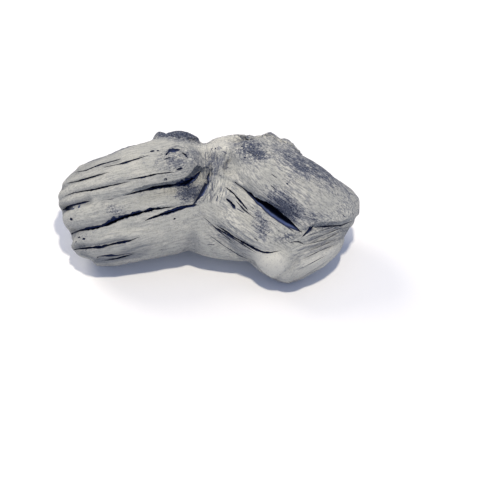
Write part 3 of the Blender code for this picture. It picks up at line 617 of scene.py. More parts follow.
SOOT = (
    SootPatch(FRONT, (25.0, 36.5), (10.0, 7.0), -25.0, 0.85, 1.0),
    SootPatch(FRONT, (31.0, 32.4), (7.0, 3.6), -10.0, 1.15, 1.0),
    SootPatch(FRONT, (60.0, 25.5), (29.0, 7.0), -29.0, 0.8, 0.5),
    SootPatch(FRONT, (60.0, 22.5), (13.0, 4.5), -29.0, 1.0, 0.4),
    SootPatch(FRONT, (49.8, 16.4), (4.5, 3.0), -25.0, 0.55, 0.2),
    SootPatch(FRONT, (47.0, 0.6), (12.0, 6.0), -38.0, 1.3, 0.4),
    SootPatch(FRONT, (64.7, -6.4), (4.5, 3.2), 0.0, 0.6, 0.4),
    SootPatch(FRONT, (33.3, -10.2), (5.5, 8.0), 20.0, 0.8, 0.3),
    SootPatch(FRONT, (47.5, -17.6), (7.0, 3.2), 8.0, 0.5, 0.8),
    SootPatch(FRONT, (-9.0, 31.0), (13.0, 7.0), -30.0, 0.4, 0.4),
    SootPatch(FRONT, (-11.0, 10.0), (7.5, 5.5), -20.0, 1.2, 0.8),
    SootPatch(FRONT, (-55.0, -1.8), (5.0, 2.8), -8.0, 0.8, 0.4),
    SootPatch(FRONT, (12.0, -16.0), (16.0, 5.0), -35.0, 0.26, 0.2),
    SootPatch(FRONT, (5.0, 29.0), (8.0, 8.0), 5.0, 0.5, 0.4),
    SootPatch(FRONT, (1.0, 20.0), (4.0, 9.0), 0.0, 0.5, 0.3),
    SootPatch(FRONT, (-18.5, 46.5), (17.0, 4.4), -8.0, 1.5, 1.0),
    SootPatch(FRONT, (70.0, -24.0), (20.0, 8.0), 28.0, 0.05, 0.1),
    SootPatch(FRONT, (-20.0, 28.0), (9.0, 6.5), -10.0, 0.62, 0.6),
    SootPatch(FRONT, (70.0, -11.5), (9.0, 2.0), 4.0, 0.45, 0.6),
    # The last four patches lay thick, pale, smooth ash; on the shoulder and the chin that paleness is
    # also painted light, brighter than the lamps make them.
    SootPatch(FRONT, (10.0, 42.0), (15.0, 6.0), 8.0, 0.0, 0.0, 1.6),
    SootPatch(FRONT, (36.0, -33.0), (14.0, 9.0), -35.0, 0.0, 0.0, 1.2),
    SootPatch(FRONT, (68.0, -30.0), (18.0, 9.0), 30.0, 0.0, 0.0, 0.9),
    SootPatch(FRONT, (24.0, 22.0), (18.0, 7.0), -34.0, 0.0, 0.0, 0.5),
    SootPatch(REAR, (-50.0, -8.0), (30.0, 11.0), 4.0, 0.9, 1.0),
    SootPatch(REAR, (52.0, -12.0), (32.0, 10.0), -4.0, 0.9, 1.0),
    SootPatch(REAR, (8.0, -14.0), (18.0, 12.0), 0.0, 0.5, 0.5),
    SootPatch(HEEL, (-44.0, -4.0), (26.0, 8.0), 6.0, 0.5, 0.5),
    SootPatch(HEEL, (44.0, -6.0), (28.0, 8.0), -6.0, 0.5, 0.6),
)


def smooth_step(x: np.ndarray, low: float, high: float) -> np.ndarray:
    """0 below low, 1 above high, and a smooth rise between them."""
    share = np.clip((x - low) / (high - low), 0, 1)
    return share * share * (3 - 2 * share)


def fade(shares: np.ndarray, reach: float) -> np.ndarray:
    """How full a line on the surface is at shares of its length: it begins and ends softly."""
    return smooth_step(shares, -reach / 2, reach) * smooth_step(1 - shares, -reach / 2, reach)


def swell_at(share: float, tip: float, bluntness: float) -> float:
    """How far a cut has opened at a share of its length: 1 in the middle, less at its ends."""
    return math.sin(math.pi * min(max(share, tip), 1 - tip)) ** bluntness


def near_box(places: np.ndarray, trace: Trace, margin: float) -> np.ndarray:
    """Marks the places in a trace's box.

    Args:
        places: places on a side, one to a row, in metres.
        trace: the trace, in mm.
        margin: how far the box is grown, in mm.

    Returns:
        True for each place in the box.
    """
    corners = np.array(trace) * MM
    low = corners.min(axis=0) - margin * MM
    high = corners.max(axis=0) + margin * MM
    return ((places > low) & (places < high)).all(axis=1)


def near_trace(places: np.ndarray, trace: Trace) -> tuple[np.ndarray, np.ndarray, np.ndarray]:
    """Measures how places lie to a trace.

    Args:
        places: places on a side, one to a row, in metres.
        trace: the trace, in mm.

    Returns:
        The gap from each place to the trace, the hand it is on (1 is right), and the share of the
        trace's length there.
    """
    corners = np.array(trace) * MM
    runs = np.linalg.norm(np.diff(corners, axis=0), axis=1)
    starts = np.concatenate([[0], np.cumsum(runs)])
    gaps = np.full(len(places), np.inf)
    hands = np.ones(len(places))
    shares = np.zeros(len(places))
    for i, run in enumerate(runs):
        way = (corners[i + 1] - corners[i]) / run
        offset = places - corners[i]
        along = np.clip(offset @ way, 0, run)
        gap = np.linalg.norm(offset - along[:, None] * way, axis=1)
        nearer = gap < gaps
        gaps[nearer] = gap[nearer]
        shares[nearer] = (starts[i] + along[nearer]) / starts[-1]
        hands[nearer] = np.sign(offset @ np.array((way[1], -way[0])))[nearer]
    return gaps, hands, shares


def spread_along(trace: Trace, count: int) -> np.ndarray:
    """Spaces places evenly along a trace.

    Args:
        trace: the trace.
        count: how many places.

    Returns:
        The places, one to a row, in the trace's own unit.
    """
    corners = np.array(trace, dtype=float)
    lengths = np.concatenate([[0], np.cumsum(np.linalg.norm(np.diff(corners, axis=0), axis=1))])
    shares = np.linspace(0, lengths[-1], count)
    return np.stack([np.interp(shares, lengths, corners[:, i]) for i in range(2)], axis=1)


def trace_length(trace: Trace) -> float:
    """The length of a trace, in mm."""
    return float(np.linalg.norm(np.diff(np.array(trace, dtype=float), axis=0), axis=1).sum())


def ellipse_distance(places: np.ndarray, middle: Place, halves: Place, turn: float) -> np.ndarray:
    """How far out of an ellipse places are: 0 at its middle, 1 on its edge.

    Args:
        places: places on a side, in metres.
        middle: the ellipse's middle, in mm.
        halves: its half lengths, in mm.
        turn: its turn, in degrees.

    Returns:
        The distance of each place.
    """
    angle = math.radians(turn)
    offset = places - np.array(middle) * MM
    along = offset @ np.array((math.cos(angle), math.sin(angle)))
    across = offset @ np.array((-math.sin(angle), math.cos(angle)))
    return np.hypot(along / (halves[0] * MM), across / (halves[1] * MM))


def face_point(u: float, v: float, w: float) -> Vector:
    """A point in space from its place on the broad face and its height out of it, in metres."""
    return FACE_CENTRE + FACE_U * u + FACE_V * v + FACE_W * w


def noise_at(rows: np.ndarray) -> np.ndarray:
    """Smooth noise between -1 and 1 at each row's point."""
    return np.array([noise.noise(Vector(row)) for row in rows])


def new_object(name: str, points: list, edges: list, faces: list) -> bpy.types.Object:
    """Makes a mesh object and links it to the scene.

    Args:
        name: the object's name.
        points: its points.
        edges: pairs of point numbers.
        faces: loops of point numbers.

    Returns:
        The object.
    """
    mesh = bpy.data.meshes.new(name)
    mesh.from_pydata([tuple(point) for point in points], edges, faces)
    mesh.update()
    made = bpy.data.objects.new(name, mesh)
    bpy.context.scene.collection.objects.link(made)
    return made


def bake_modifiers(obj: bpy.types.Object) -> None:
    """Makes what an object's modifiers show its own mesh, and removes them.

    Args:
        obj: the object.
    """
    graph = bpy.context.evaluated_depsgraph_get()
    shown = bpy.data.meshes.new_from_object(obj.evaluated_get(graph))
    obj.modifiers.clear()
    old = obj.data
    obj.data = shown
    if old.users == 0:
        bpy.data.meshes.remove(old)


def drop_object(obj: bpy.types.Object) -> None:
    """Removes an object that was only a tool."""
    bpy.data.objects.remove(obj, do_unlink=True)


def add_node(tree: bpy.types.NodeTree, kind: str, settings: dict | None = None,
             links: dict | None = None) -> bpy.types.Node:
    """Adds a node with its settings and links.

    Args:
        tree: the node tree.
        kind: the node's type.
        settings: its properties by name, and its unlinked inputs by number or name.
        links: the output sockets that feed its inputs, by number or name.

    Returns:
        The node.
    """
    made = tree.nodes.new(kind)
    for name, value in (settings or {}).items():
        if isinstance(name, str) and hasattr(made, name):
            setattr(made, name, value)
        else:
            made.inputs[name].default_value = value
    for name, source in (links or {}).items():
        tree.links.new(source, made.inputs[name])
    return made


@dataclass(frozen=True)
class Row:
    """A row of a node recipe: its name, the node's type, its settings and what feeds its inputs.

    What feeds an input is named by the row it comes from, and stands for that row's first output
    unless another follows after a dot.
    """

    name: str
    kind: str
    settings: dict = field(default_factory=dict)
    links: dict = field(default_factory=dict)


def follow(tree: bpy.types.NodeTree, recipe: list[Row]) -> dict[str, bpy.types.Node]:
    """Adds a recipe's nodes to a tree, row by row.

    Args:
        tree: the node tree.
        recipe: its rows.

    Returns:
        Each row's node, by the row's name.
    """
    made = {}
    for row in recipe:
        links = {}
        for label, source in row.links.items():
            name, _, output = source.partition(".")
            outputs = made[name].outputs
            links[label] = outputs[output] if output else next(o for o in outputs if o.enabled)
        made[row.name] = add_node(tree, row.kind, row.settings, links)
    return made


def open_tree(name: str, inputs: dict[str, str], output: str) -> bpy.types.NodeTree:
    """Begins a geometry tree.

    Args:
        name: the tree's name.
        inputs: the kind of each input socket, by its name.
        output: the name of its one output.

    Returns:
        The tree, with its sockets and no nodes.
    """
    tree = bpy.data.node_groups.new(name, "GeometryNodeTree")
    for label, kind in inputs.items():
        tree.interface.new_socket(label, in_out="INPUT", socket_type="NodeSocket" + kind)
    tree.interface.new_socket(output, in_out="OUTPUT", socket_type="NodeSocketGeometry")
    return tree


def srgb(code: str) -> tuple[float, float, float, float]:
    """Turns an sRGB hex colour to a linear one.

    Args:
        code: the colour, as #RRGGBB.

    Returns:
        Red, green and blue, and an alpha of 1.
    """
    parts = [int(code[i:i + 2], 16) / 255 for i in (1, 3, 5)]
    linear = [c / 12.92 if c <= 0.04045 else ((c + 0.055) / 1.055) ** 2.4 for c in parts]
    return (*linear, 1.0)


@dataclass(frozen=True)
class SplitTools:
    """Cutters for the splits: a wedge swept along each split, with jagged lips.

    The outline is in half widths across and in depths down. The swell is how bluntly a split
    closes at its ends, and the least width and depth are shares of its full ones.
    """

    rise: float = 3.0 * MM
    open: float = 1.0  # how wide a split stands open, as a share of its width
    step: float = 0.8 * MM
    jag: float = 1.5  # how far its lips swing, as a share of the split's half width
    jag_size: float = 1.7 * MM
    waver: float = 1.8
    waver_size: float = 5.0 * MM
    fine_waver: float = 0.5
    fine_waver_size: float = 1.6 * MM
    seed_step: float = 3.7  # how far apart the noises of two splits are read
    swell: float = 0.6
    tip: float = 0.01  # the share of its length that its swell leaves out at each end
    least_width: float = 0.12
    least_depth: float = 0.3
    way_reach: float = 3.0 * MM  # how far along the spine its way is read
    mean_pull: float = 2.0  # how much the mean way out counts beside a point's own
    outline: tuple[Place, ...] = ((-1.9, 1.0), (-0.95, 0.06), (-0.22, -1.0),
                                  (0.22, -1.0), (0.95, 0.06), (1.9, 1.0))

    def spine(self, name: str, split: Split, tree: BVHTree) -> bpy.types.Object:
        """Lays a split's spine on the surface.

        Args:
            name: the split's name.
            split: the split.
            tree: the uncut surface.

        Returns:
            A string of edges that carries each point's way out, half width, depth and hand.
        """
        count = max(LEAST_STATIONS, round(trace_length(split.trace) / (self.step / MM)))
        rows = []
        for share, place in zip(np.linspace(0, 1, count), spread_along(split.trace, count) * MM):
            point, normal = split.side.surface_at(tree, place)
            if point is not None:
                rows.append((share, point, normal))
        mean = sum((normal for _, _, normal in rows), Vector()).normalized()
        reach = max(2, round(self.way_reach / self.step))
        points, outs, halves, depths, hands = [], [], [], [], []
        for i, (share, point, normal) in enumerate(rows):
            way = rows[min(i + reach, len(rows) - 1)][1] - rows[max(i - reach, 0)][1]
            out = (mean * self.mean_pull + normal + split.side.axes()[2]).normalized()
            swell = swell_at(share, self.tip, self.swell)
            waver = noise.noise(point / self.waver_size)
            waver += self.fine_waver * noise.noise(point / self.fine_waver_size)
            wide = max(self.least_width, swell * (1 + split.ragged * self.waver * waver))
            points.append(point)
            outs.append(out)
            hands.append(way.cross(out).normalized())
            halves.append(split.width * self.open * MM * wide / 2)
            depths.append(split.depth * MM * max(self.least_depth, swell))
        edges = [(i, i + 1) for i in range(len(points) - 1)]
        made = new_object(name, points, edges, [])
        for label, values in (("out", outs), ("hand", hands)):
            layer = made.data.attributes.new(label, "FLOAT_VECTOR", "POINT")
            layer.data.foreach_set("vector", np.array([tuple(v) for v in values]).ravel())
        for label, values in (("half", halves), ("deep", depths)):
            layer = made.data.attributes.new(label, "FLOAT", "POINT")
            layer.data.foreach_set("value", values)
        return made

    def tree(self) -> bpy.types.NodeTree:
        """Builds the node tree that sweeps the wedge's outline along a spine.

        Returns:
            The tree, with named inputs for the rise, the jag, its size and the seed.
        """
        inputs = {"Spine": "Geometry", "Outline": "Object", "Rise": "Float", "Jag": "Float",
                  "Jag Size": "Float", "Seed": "Float", "Material": "Material"}
        tree = open_tree("sweep_split", inputs, "Cutter")
        on_points = {"data_type": "FLOAT_VECTOR", "domain": "POINT"}
        rows = [
            Row("given", "NodeGroupInput"),
            Row("position", "GeometryNodeInputPosition"),
            Row("marked", STORE, {**on_points, "Name": "centre"},
                {"Geometry": "given.Spine", "Value": "position"}),
            Row("path", CURVE, {}, {"Mesh": "marked"}),
            Row("shape", "GeometryNodeObjectInfo", {}, {"Object": "given.Outline"}),
            Row("flat", STORE, {**on_points, "Name": "outline"},
                {"Geometry": "shape.Geometry", "Value": "position"}),
            Row("profile", CURVE, {}, {"Mesh": "flat"}),
            Row("swept", "GeometryNodeCurveToMesh", {"Fill Caps": True},
                {"Curve": "path", "Profile Curve": "profile"}),
        ]
        for kind, labels in (("FLOAT_VECTOR", ("outline", "centre", "hand", "out")),
                             ("FLOAT", ("half", "deep"))):
            rows += [Row(label, READ, {"data_type": kind, "Name": label}) for label in labels]
        rows += [
            Row("corner", "ShaderNodeSeparateXYZ", {}, {"Vector": "outline"}),
            Row("over", MATH, {"operation": "MAXIMUM", 1: 0.0}, {0: "corner.Y"}),
            Row("under", MATH, {"operation": "MINIMUM", 1: 0.0}, {0: "corner.Y"}),
            Row("above", MATH, {"operation": "MULTIPLY"}, {0: "over", 1: "given.Rise"}),
            Row("lift", MATH, {"operation": "MULTIPLY_ADD"}, {0: "under", 1: "deep", 2: "above"}),
            Row("reach", MATH, {"operation": "MULTIPLY"}, {0: "corner.X", 1: "half"}),
            Row("tall", VECTOR, {"operation": "SCALE"}, {"Vector": "out", "Scale": "lift"}),
            Row("wide", VECTOR, {"operation": "SCALE"}, {"Vector": "hand", "Scale": "reach"}),
            Row("raised", VECTOR, {"operation": "ADD"}, {0: "centre", 1: "tall"}),
            Row("wedge", VECTOR, {"operation": "ADD"}, {0: "raised", 1: "wide"}),
            Row("shaped", MOVE, {}, {"Geometry": "swept", "Position": "wedge"}),
            Row("pitch", MATH, {"operation": "DIVIDE", 0: 1.0}, {1: "given.Jag Size"}),
            Row("grit", NOISE, {"noise_dimensions": "4D", "Detail": 2.0},
                {"Vector": "position", "W": "given.Seed", "Scale": "pitch"}),
            Row("even", MATH, {"operation": "SUBTRACT", 1: 0.5}, {0: "grit"}),
            Row("most", MATH, {"operation": "MULTIPLY"}, {0: "half", 1: "given.Jag"}),
            Row("swing", MATH, {"operation": "MULTIPLY"}, {0: "even", 1: "most"}),
            Row("aside", VECTOR, {"operation": "SCALE"}, {"Vector": "hand", "Scale": "swing"}),
            Row("jagged", MOVE, {}, {"Geometry": "shaped", "Offset": "aside"}),
            Row("real", "GeometryNodeRealizeInstances", {}, {"Geometry": "jagged"}),
            Row("dressed", "GeometryNodeSetMaterial", {},
                {"Geometry": "real", "Material": "given.Material"}),
            Row("end", "NodeGroupOutput", {}, {"Cutter": "dressed"}),
        ]
        follow(tree, rows)
        return tree

    def make(self, splits: dict[str, Split], surface: BVHTree,
             finish: bpy.types.Material) -> list[bpy.types.Object]:
        """Makes a cutter for each split.

        Args:
            splits: the splits by name.
            surface: the uncut surface.
            finish: the finish of the walls that the cutters leave.

        Returns:
            The cutters, as closed meshes.
        """
        tree = self.tree()
        count = len(self.outline)
        ring = [(i, (i + 1) % count) for i in range(count)]
        outline = new_object("wedge_outline", [(x, y, 0) for x, y in self.outline], ring, [])
        made = []
        for i, (name, split) in enumerate(splits.items()):
            cutter = self.spine(name, split, surface)
            values = {"Outline": outline, "Rise": self.rise, "Jag": self.jag,
                      "Jag Size": self.jag_size, "Seed": self.seed_step * i, "Material": finish}
            run_tree(cutter, tree, values)
            face_outwards(cutter)
            made.append(cutter)
        drop_object(outline)
        bpy.data.node_groups.remove(tree)
        return made


@dataclass(frozen=True)
class GashTool:
    """The cutter for the gash: a wedge, wide at its lips, that runs back under the burl.

    Its lengths are in mm. A jag is how far a lip swings, how many swings it has to a station, and
    which noise it reads.
    """

    stations: int = 44
    open: float = 0.92  # how wide it stands open, as a share of the gap between its lips
    lower_jag: tuple[float, float, float] = (0.5, 0.35, 0.0)
    upper_jag: tuple[float, float, float] = (0.9, 0.45, 7.0)
    least_gap: float = 0.6
    tip: float = 0.04
    swell: float = 0.7
    depth: float = 15.0
    lean: float = 0.35  # how much it runs up under the burl as it runs in
    rise: float = 6.0
    flare: float = 0.1  # how much wider it is above the lips, as a share of the gap
    floor: float = 0.15  # half its floor's width, as a share of the gap

    def shares(self) -> np.ndarray:
        """The share of the gash's length at each station."""
        return np.linspace(0, 1, self.stations)

    def lip(self, surface: BVHTree, middle: np.ndarray, edge: np.ndarray, station: int,
            jag: tuple[float, float, float]) -> Vector:
        """Finds a lip's point on the surface.

        Args:
            surface: the uncut surface.
            middle: the middle of the gash at the station, on the broad face.
            edge: the lip there before it is jagged.
            station: the number of the station.
            jag: the lip's jag.

        Returns:
            The point.
        """
        swing, pitch, row = jag
        aside = swing * MM * noise.noise(Vector((station * pitch, row, 4)))
        aside *= math.sin(math.pi * self.shares()[station])
        point, _ = FRONT.surface_at(surface, middle + (edge - middle) * self.open + (0, aside))
        return point

    def make(self, surface: BVHTree) -> bpy.types.Object:
        """Makes the cutter.

        Args:
            surface: the uncut surface.

        Returns:
            The cutter, as a closed mesh.
        """
        rings = []
        lower = spread_along(GASH_LOWER, self.stations) * MM
        upper = spread_along(GASH_UPPER, self.stations) * MM
        rise = FACE_W * self.rise * MM
        for i, share in enumerate(self.shares()):
            middle = (lower[i] + upper[i]) / 2
            low = self.lip(surface, middle, lower[i], i, self.lower_jag)
            high = self.lip(surface, middle, upper[i], i, self.upper_jag)
            across = high - low
            if across.length < self.least_gap * MM:
                across = FACE_V * self.least_gap * MM
                high = low + across
            deep = self.depth * MM * swell_at(share, self.tip, self.swell)
            floor = (low + high) / 2 + (FACE_V * self.lean - FACE_W) * deep
            rings.append((low - across * self.flare + rise, low, floor - across * self.floor,
                          floor + across * self.floor, high, high + across * self.flare + rise))
        made = loft("gash", rings)
        face_outwards(made)
        return made


@dataclass(frozen=True)
class StrewnTools:
    """Cutters for small marks: pebbles strewn over the surface, drawn out along the grain.

    Its label names the number on the surface that says how thickly they lie. Their sizes are half
    lengths in mm along the grain, across it and into the surface.
    """

    label: str
    closest: float  # how near two of them may be, in metres
    dense: float  # how many there are to a square metre where they lie thickest
    smallest: tuple[float, float, float]
    largest: tuple[float, float, float]
    seed: int

    def tree(self) -> bpy.types.NodeTree:
        """Builds the node tree that strews the pebbles.

        Returns:
            The tree, with named inputs for the spacing, the density, the sizes and the seed.
        """
        inputs = {"Surface": "Geometry", "Closest": "Float", "Dense": "Float", "Smallest": "Vector",
                  "Largest": "Vector", "Seed": "Int", "Material": "Material"}
        tree = open_tree("strew_" + self.label, inputs, "Cutter")
        follow(tree, [
            Row("given", "NodeGroupInput"),
            Row("share", READ, {"data_type": "FLOAT", "Name": self.label}),
            Row("way", READ, {"data_type": "FLOAT_VECTOR", "Name": "grain_way"}),
            Row("strewn", "GeometryNodeDistributePointsOnFaces", {"distribute_method": "POISSON"},
                {"Mesh": "given.Surface", "Distance Min": "given.Closest",
                 "Density Max": "given.Dense", "Density Factor": "share", "Seed": "given.Seed"}),
            Row("turned", "FunctionNodeAlignRotationToVector", {"axis": "X", "pivot_axis": "Z"},
                {"Rotation": "strewn.Rotation", "Vector": "way"}),
            Row("pebble", "GeometryNodeMeshIcoSphere", {"Subdivisions": 2, "Radius": 1 * MM}),
            Row("size", "FunctionNodeRandomValue", {"data_type": "FLOAT_VECTOR"},
                {0: "given.Smallest", 1: "given.Largest", "Seed": "given.Seed"}),
            Row("placed", "GeometryNodeInstanceOnPoints", {},
                {"Points": "strewn", "Instance": "pebble", "Rotation": "turned", "Scale": "size"}),
            Row("real", "GeometryNodeRealizeInstances", {}, {"Geometry": "placed"}),
            Row("dressed", "GeometryNodeSetMaterial", {},
                {"Geometry": "real", "Material": "given.Material"}),
            Row("end", "NodeGroupOutput", {}, {"Cutter": "dressed"}),
        ])
        return tree

    def make(self, surface: bpy.types.Object, finish: bpy.types.Material) -> bpy.types.Object:
        """Strews the pebbles over a surface that carries the label and the grain's way.

        Args:
            surface: the surface.
            finish: the finish of the marks.

        Returns:
            One object of closed pebbles.
        """
        cutter = bpy.data.objects.new(self.label, surface.data.copy())
        bpy.context.scene.collection.objects.link(cutter)
        tree = self.tree()
        run_tree(cutter, tree, {"Closest": self.closest, "Dense": self.dense, "Seed": self.seed,
                                "Smallest": self.smallest, "Largest": self.largest,
                                "Material": finish})
        bpy.data.node_groups.remove(tree)
        LOG.info("%s: %d faces", self.label, len(cutter.data.polygons))
        return cutter


PITS = StrewnTools(label="pitted", closest=2.1 * MM, dense=90_000.0,
                   smallest=(0.35, 0.3, 0.4), largest=(0.9, 0.6, 0.8), seed=5)
NICKS = StrewnTools(label="nicked", closest=3.8 * MM, dense=45_000.0,
                    smallest=(1.2, 0.16, 0.35), largest=(3.2, 0.3, 0.8), seed=8)


def run_tree(obj: bpy.types.Object, tree: bpy.types.NodeTree, values: dict) -> None:
    """Runs a node tree on an object and keeps the mesh that it makes.

    Args:
        obj: the object.
        tree: the node tree.
        values: the tree's inputs by name.
    """
    modifier = obj.modifiers.new(tree.name, "NODES")
    modifier.node_group = tree
    for item in tree.interface.items_tree:
        if item.item_type == "SOCKET" and item.in_out == "INPUT" and item.name in values:
            modifier[item.identifier] = values[item.name]
    bake_modifiers(obj)


def face_outwards(obj: bpy.types.Object) -> None:
    """Turns a closed mesh's faces outwards.

    Args:
        obj: the object that holds the mesh.
    """
    shape = bmesh.new()
    shape.from_mesh(obj.data)
    bmesh.ops.remove_doubles(shape, verts=shape.verts, dist=1e-6)
    bmesh.ops.recalc_face_normals(shape, faces=shape.faces)
    shape.to_mesh(obj.data)
    shape.free()


@dataclass
class Lump:
    """The lump, made from the part's own form at a finer grain."""

    finish: "AshedCharcoal"
    cell: float = 0.5 * MM
    part_cell: float = 1.0 * MM
    part_rounds: int = 6
    triangles: int = 140_000
    ring_points: int = 96
    station_step: float = 1.25 * MM
    lobe_segments: int = 96
    lobe_rings: int = 56
    slab: tuple[float, float] = (400 * MM, 100 * MM)
    least_gap: float = 0.04  # in mm: a face farther than this from the uncut surface is a wall
    ground_clear: float = 0.2 * MM  # lower faces are the flat spots, which are no walls
    sharp_angle: float = math.radians(50)

    def build(self) -> tuple[bpy.types.Object, Vector]:
        """Builds and dresses the lump.

        Returns:
            The finished piece, and the middle of its broad face.
        """
        lump = self.shells()
        rounds = round(self.part_rounds * (self.part_cell / self.cell) ** 2)
        self.fuse(lump, rounds)
        self.break_faces(lump)
        self.sink(lump, list(STEPS))
        self.sink(lump, [*CREASES, *END_NOTCHES, *strand_creases()])
        self.grain(lump)
        self.fuse(lump, 1)
        self.thin(lump)
        LOG.info("body: %d faces", len(lump.data.polygons))
        surface = BVHTree.FromObject(lump, bpy.context.evaluated_depsgraph_get())
        material = self.finish.material()
        lump.data.materials.clear()
        lump.data.materials.append(material)
        splits = SplitTools().make(SPLITS | FINE_SPLITS, surface, material)
        self.cut(lump, [GashTool().make(surface), *splits])
        self.mark_strewn(lump)
        self.cut(lump, [tools.make(lump, material) for tools in (PITS, NICKS)] + [self.ground()])
        self.paint(lump, surface)
        return lump, self.fit(lump)

    def shells(self) -> bpy.types.Object:
        """Makes the core and its lobes.

        Returns:
            One object of crossing shells.
        """
        shells = [self.core()] + [self.lobe(name, shape) for name, shape in LOBES.items()]
        with bpy.context.temp_override(active_object=shells[0], selected_editable_objects=shells,
                                       selected_objects=shells):
            bpy.ops.object.join()
        shells[0].name = NODE + "_fine"
        return shells[0]

    def core(self) -> bpy.types.Object:
        """Lofts the core through its cross-sections.

        Returns:
            The core.
        """
        table = np.array([(s.place, s.top, s.bottom, s.front, s.back, s.out) for s in CORE]) * MM
        steps = round((table[-1, 0] - table[0, 0]) / self.station_step)
        rings = []
        for place in np.linspace(table[0, 0], table[-1, 0], steps + 1):
            top, bottom, front, back, out = (np.interp(place, table[:, 0], table[:, i])
                                             for i in range(1, 6))
            ring = []
            for turn in np.linspace(0, 2 * math.pi, self.ring_points, endpoint=False):
                v = (top + bottom) / 2 + (top - bottom) / 2 * math.cos(turn)
                w = out + (front if math.sin(turn) > 0 else back) * math.sin(turn)
                ring.append(face_point(place, v, w))
            rings.append(ring)
        return loft("core", rings)

    def lobe(self, name: str, shape: Lobe) -> bpy.types.Object:
        """Makes an ellipsoid that swells out of the core.

        Args:
            name: the lobe's name.
            shape: its place, size and turn.

        Returns:
            The lobe.
        """
        mesh = bpy.data.meshes.new(name)
        ball = bmesh.new()
        axes = Matrix((FACE_U, FACE_V, FACE_W)).transposed().to_4x4()
        place = Matrix.Translation(face_point(*(value * MM for value in shape.middle))) @ axes
        place = place @ Matrix.Rotation(math.radians(shape.turn), 4, "Z")
        place = place @ Matrix.Diagonal([value * MM for value in shape.halves] + [1])
        bmesh.ops.create_uvsphere(ball, u_segments=self.lobe_segments, v_segments=self.lobe_rings,
                                  radius=1, matrix=place)
        ball.to_mesh(mesh)
        ball.free()
        made = bpy.data.objects.new(name, mesh)
        bpy.context.scene.collection.objects.link(made)
        return made

    def fuse(self, obj: bpy.types.Object, rounds: int) -> None:
        """Grows crossing shells together as one even skin, and rounds the seams between them.

        Args:
            obj: the object that holds the shells.
            rounds: how many times it is smoothed.
        """
        remesh = obj.modifiers.new("fuse", "REMESH")
        remesh.mode = "VOXEL"
        remesh.voxel_size = self.cell
        smooth = obj.modifiers.new("round_seams", "SMOOTH")
        smooth.factor = 0.5
        smooth.iterations = rounds
        bake_modifiers(obj)

    def break_faces(self, obj: bpy.types.Object) -> None:
        """Flattens the surface to the rough broken faces, splintered along the grain.

        Args:
            obj: the lump.
        """
        points, _ = read_mesh(obj)
        for face in BREAKS:
            out = FACE_U * face.way[0] + FACE_V * face.way[1] + FACE_W * face.way[2]
            out = np.array(out.normalized())
            start = np.array(face_point(*(value * MM for value in face.middle)))
            proud = (points - start) @ out
            near = proud > -BREAK_NEAR
            offset = points[near] - start
            grit = BREAK_ROUGHNESS * noise_at(offset / BREAK_GRIT)
            splinters = noise_at(offset / np.array(SPLINTER_SIZE) / MM)
            proud[near] -= grit + SPLINTER_ROUGHNESS * splinters
            points = points - np.maximum(proud, 0)[:, None] * out
        write_points(obj, points)

    def sink(self, obj: bpy.types.Object, marks: list) -> None:
        """Sinks creases or steps in the surface.

        Args:
            obj: the lump.
            marks: the creases or steps.
        """
        points, normals = read_mesh(obj)
        sides = see(points, normals)
        sunk = sum(mark.sunk(sides) for mark in marks)
        write_points(obj, points - normals * sunk[:, None])

    def grain(self, obj: bpy.types.Object) -> None:
        """Adds the broad unevenness of the surface, its crackle and the ripples along the grain.

        Args:
            obj: the lump.
        """
        points, normals = read_mesh(obj)
        heights = SWELL_DEPTH * noise_at((points - np.array(FACE_CENTRE)) / SWELL_SIZE)
        crackled = soot_at(see(points, normals), Trait.CRACKLED)
        near = crackled > FAINT
        for size, height in self.finish.scales:
            scales = noise_at(points[near] / (size * MM))
            heights[near] += crackled[near] * height * MM * scales
        for name, weight in zone_weights(points).items():
            near = weight > FAINT_ZONE
            zone = ZONES[name]
            for length, width, height in self.finish.ripples:
                ripple = noise_at(zone_places(points[near], zone, length * MM, width * MM))
                heights[near] += weight[near] * zone.streaky * height * MM * ripple
        write_points(obj, points + normals * heights[:, None])

    def thin(self, obj: bpy.types.Object) -> None:
        """Thins the mesh to the triangles that its shape needs.

        Args:
            obj: the lump.
        """
        thinner = obj.modifiers.new("thin", "DECIMATE")
        thinner.ratio = min(1.0, self.triangles / (2 * len(obj.data.polygons)))
        bake_modifiers(obj)

    def ground(self) -> bpy.types.Object:
        """Makes a slab under the ground plane, which leaves the low points flat to rest on.

        Returns:
            The slab, as a cutter.
        """
        mesh = bpy.data.meshes.new("ground")
        slab = bmesh.new()
        width, height = self.slab
        place = Matrix.Translation((0, 0, -height / 2)) @ Matrix.Diagonal((width, width, height, 1))
        bmesh.ops.create_cube(slab, size=1, matrix=place)
        slab.to_mesh(mesh)
        slab.free()
        made = bpy.data.objects.new("ground", mesh)
        bpy.context.scene.collection.objects.link(made)
        return made

    def cut(self, obj: bpy.types.Object, cutters: list[bpy.types.Object]) -> None:
        """Cuts each cutter's shape out of the lump, and drops the cutter.

        Args:
            obj: the lump.
            cutters: the cutters, as closed meshes.
        """
        for cutter in cutters:
            boolean = obj.modifiers.new(cutter.name, "BOOLEAN")
            boolean.operation = "DIFFERENCE"
            boolean.solver = "MANIFOLD"
            boolean.object = cutter
        bake_modifiers(obj)
        for cutter in cutters:
            drop_object(cutter)
        LOG.info("cut %d: %d faces", len(cutters), len(obj.data.polygons))

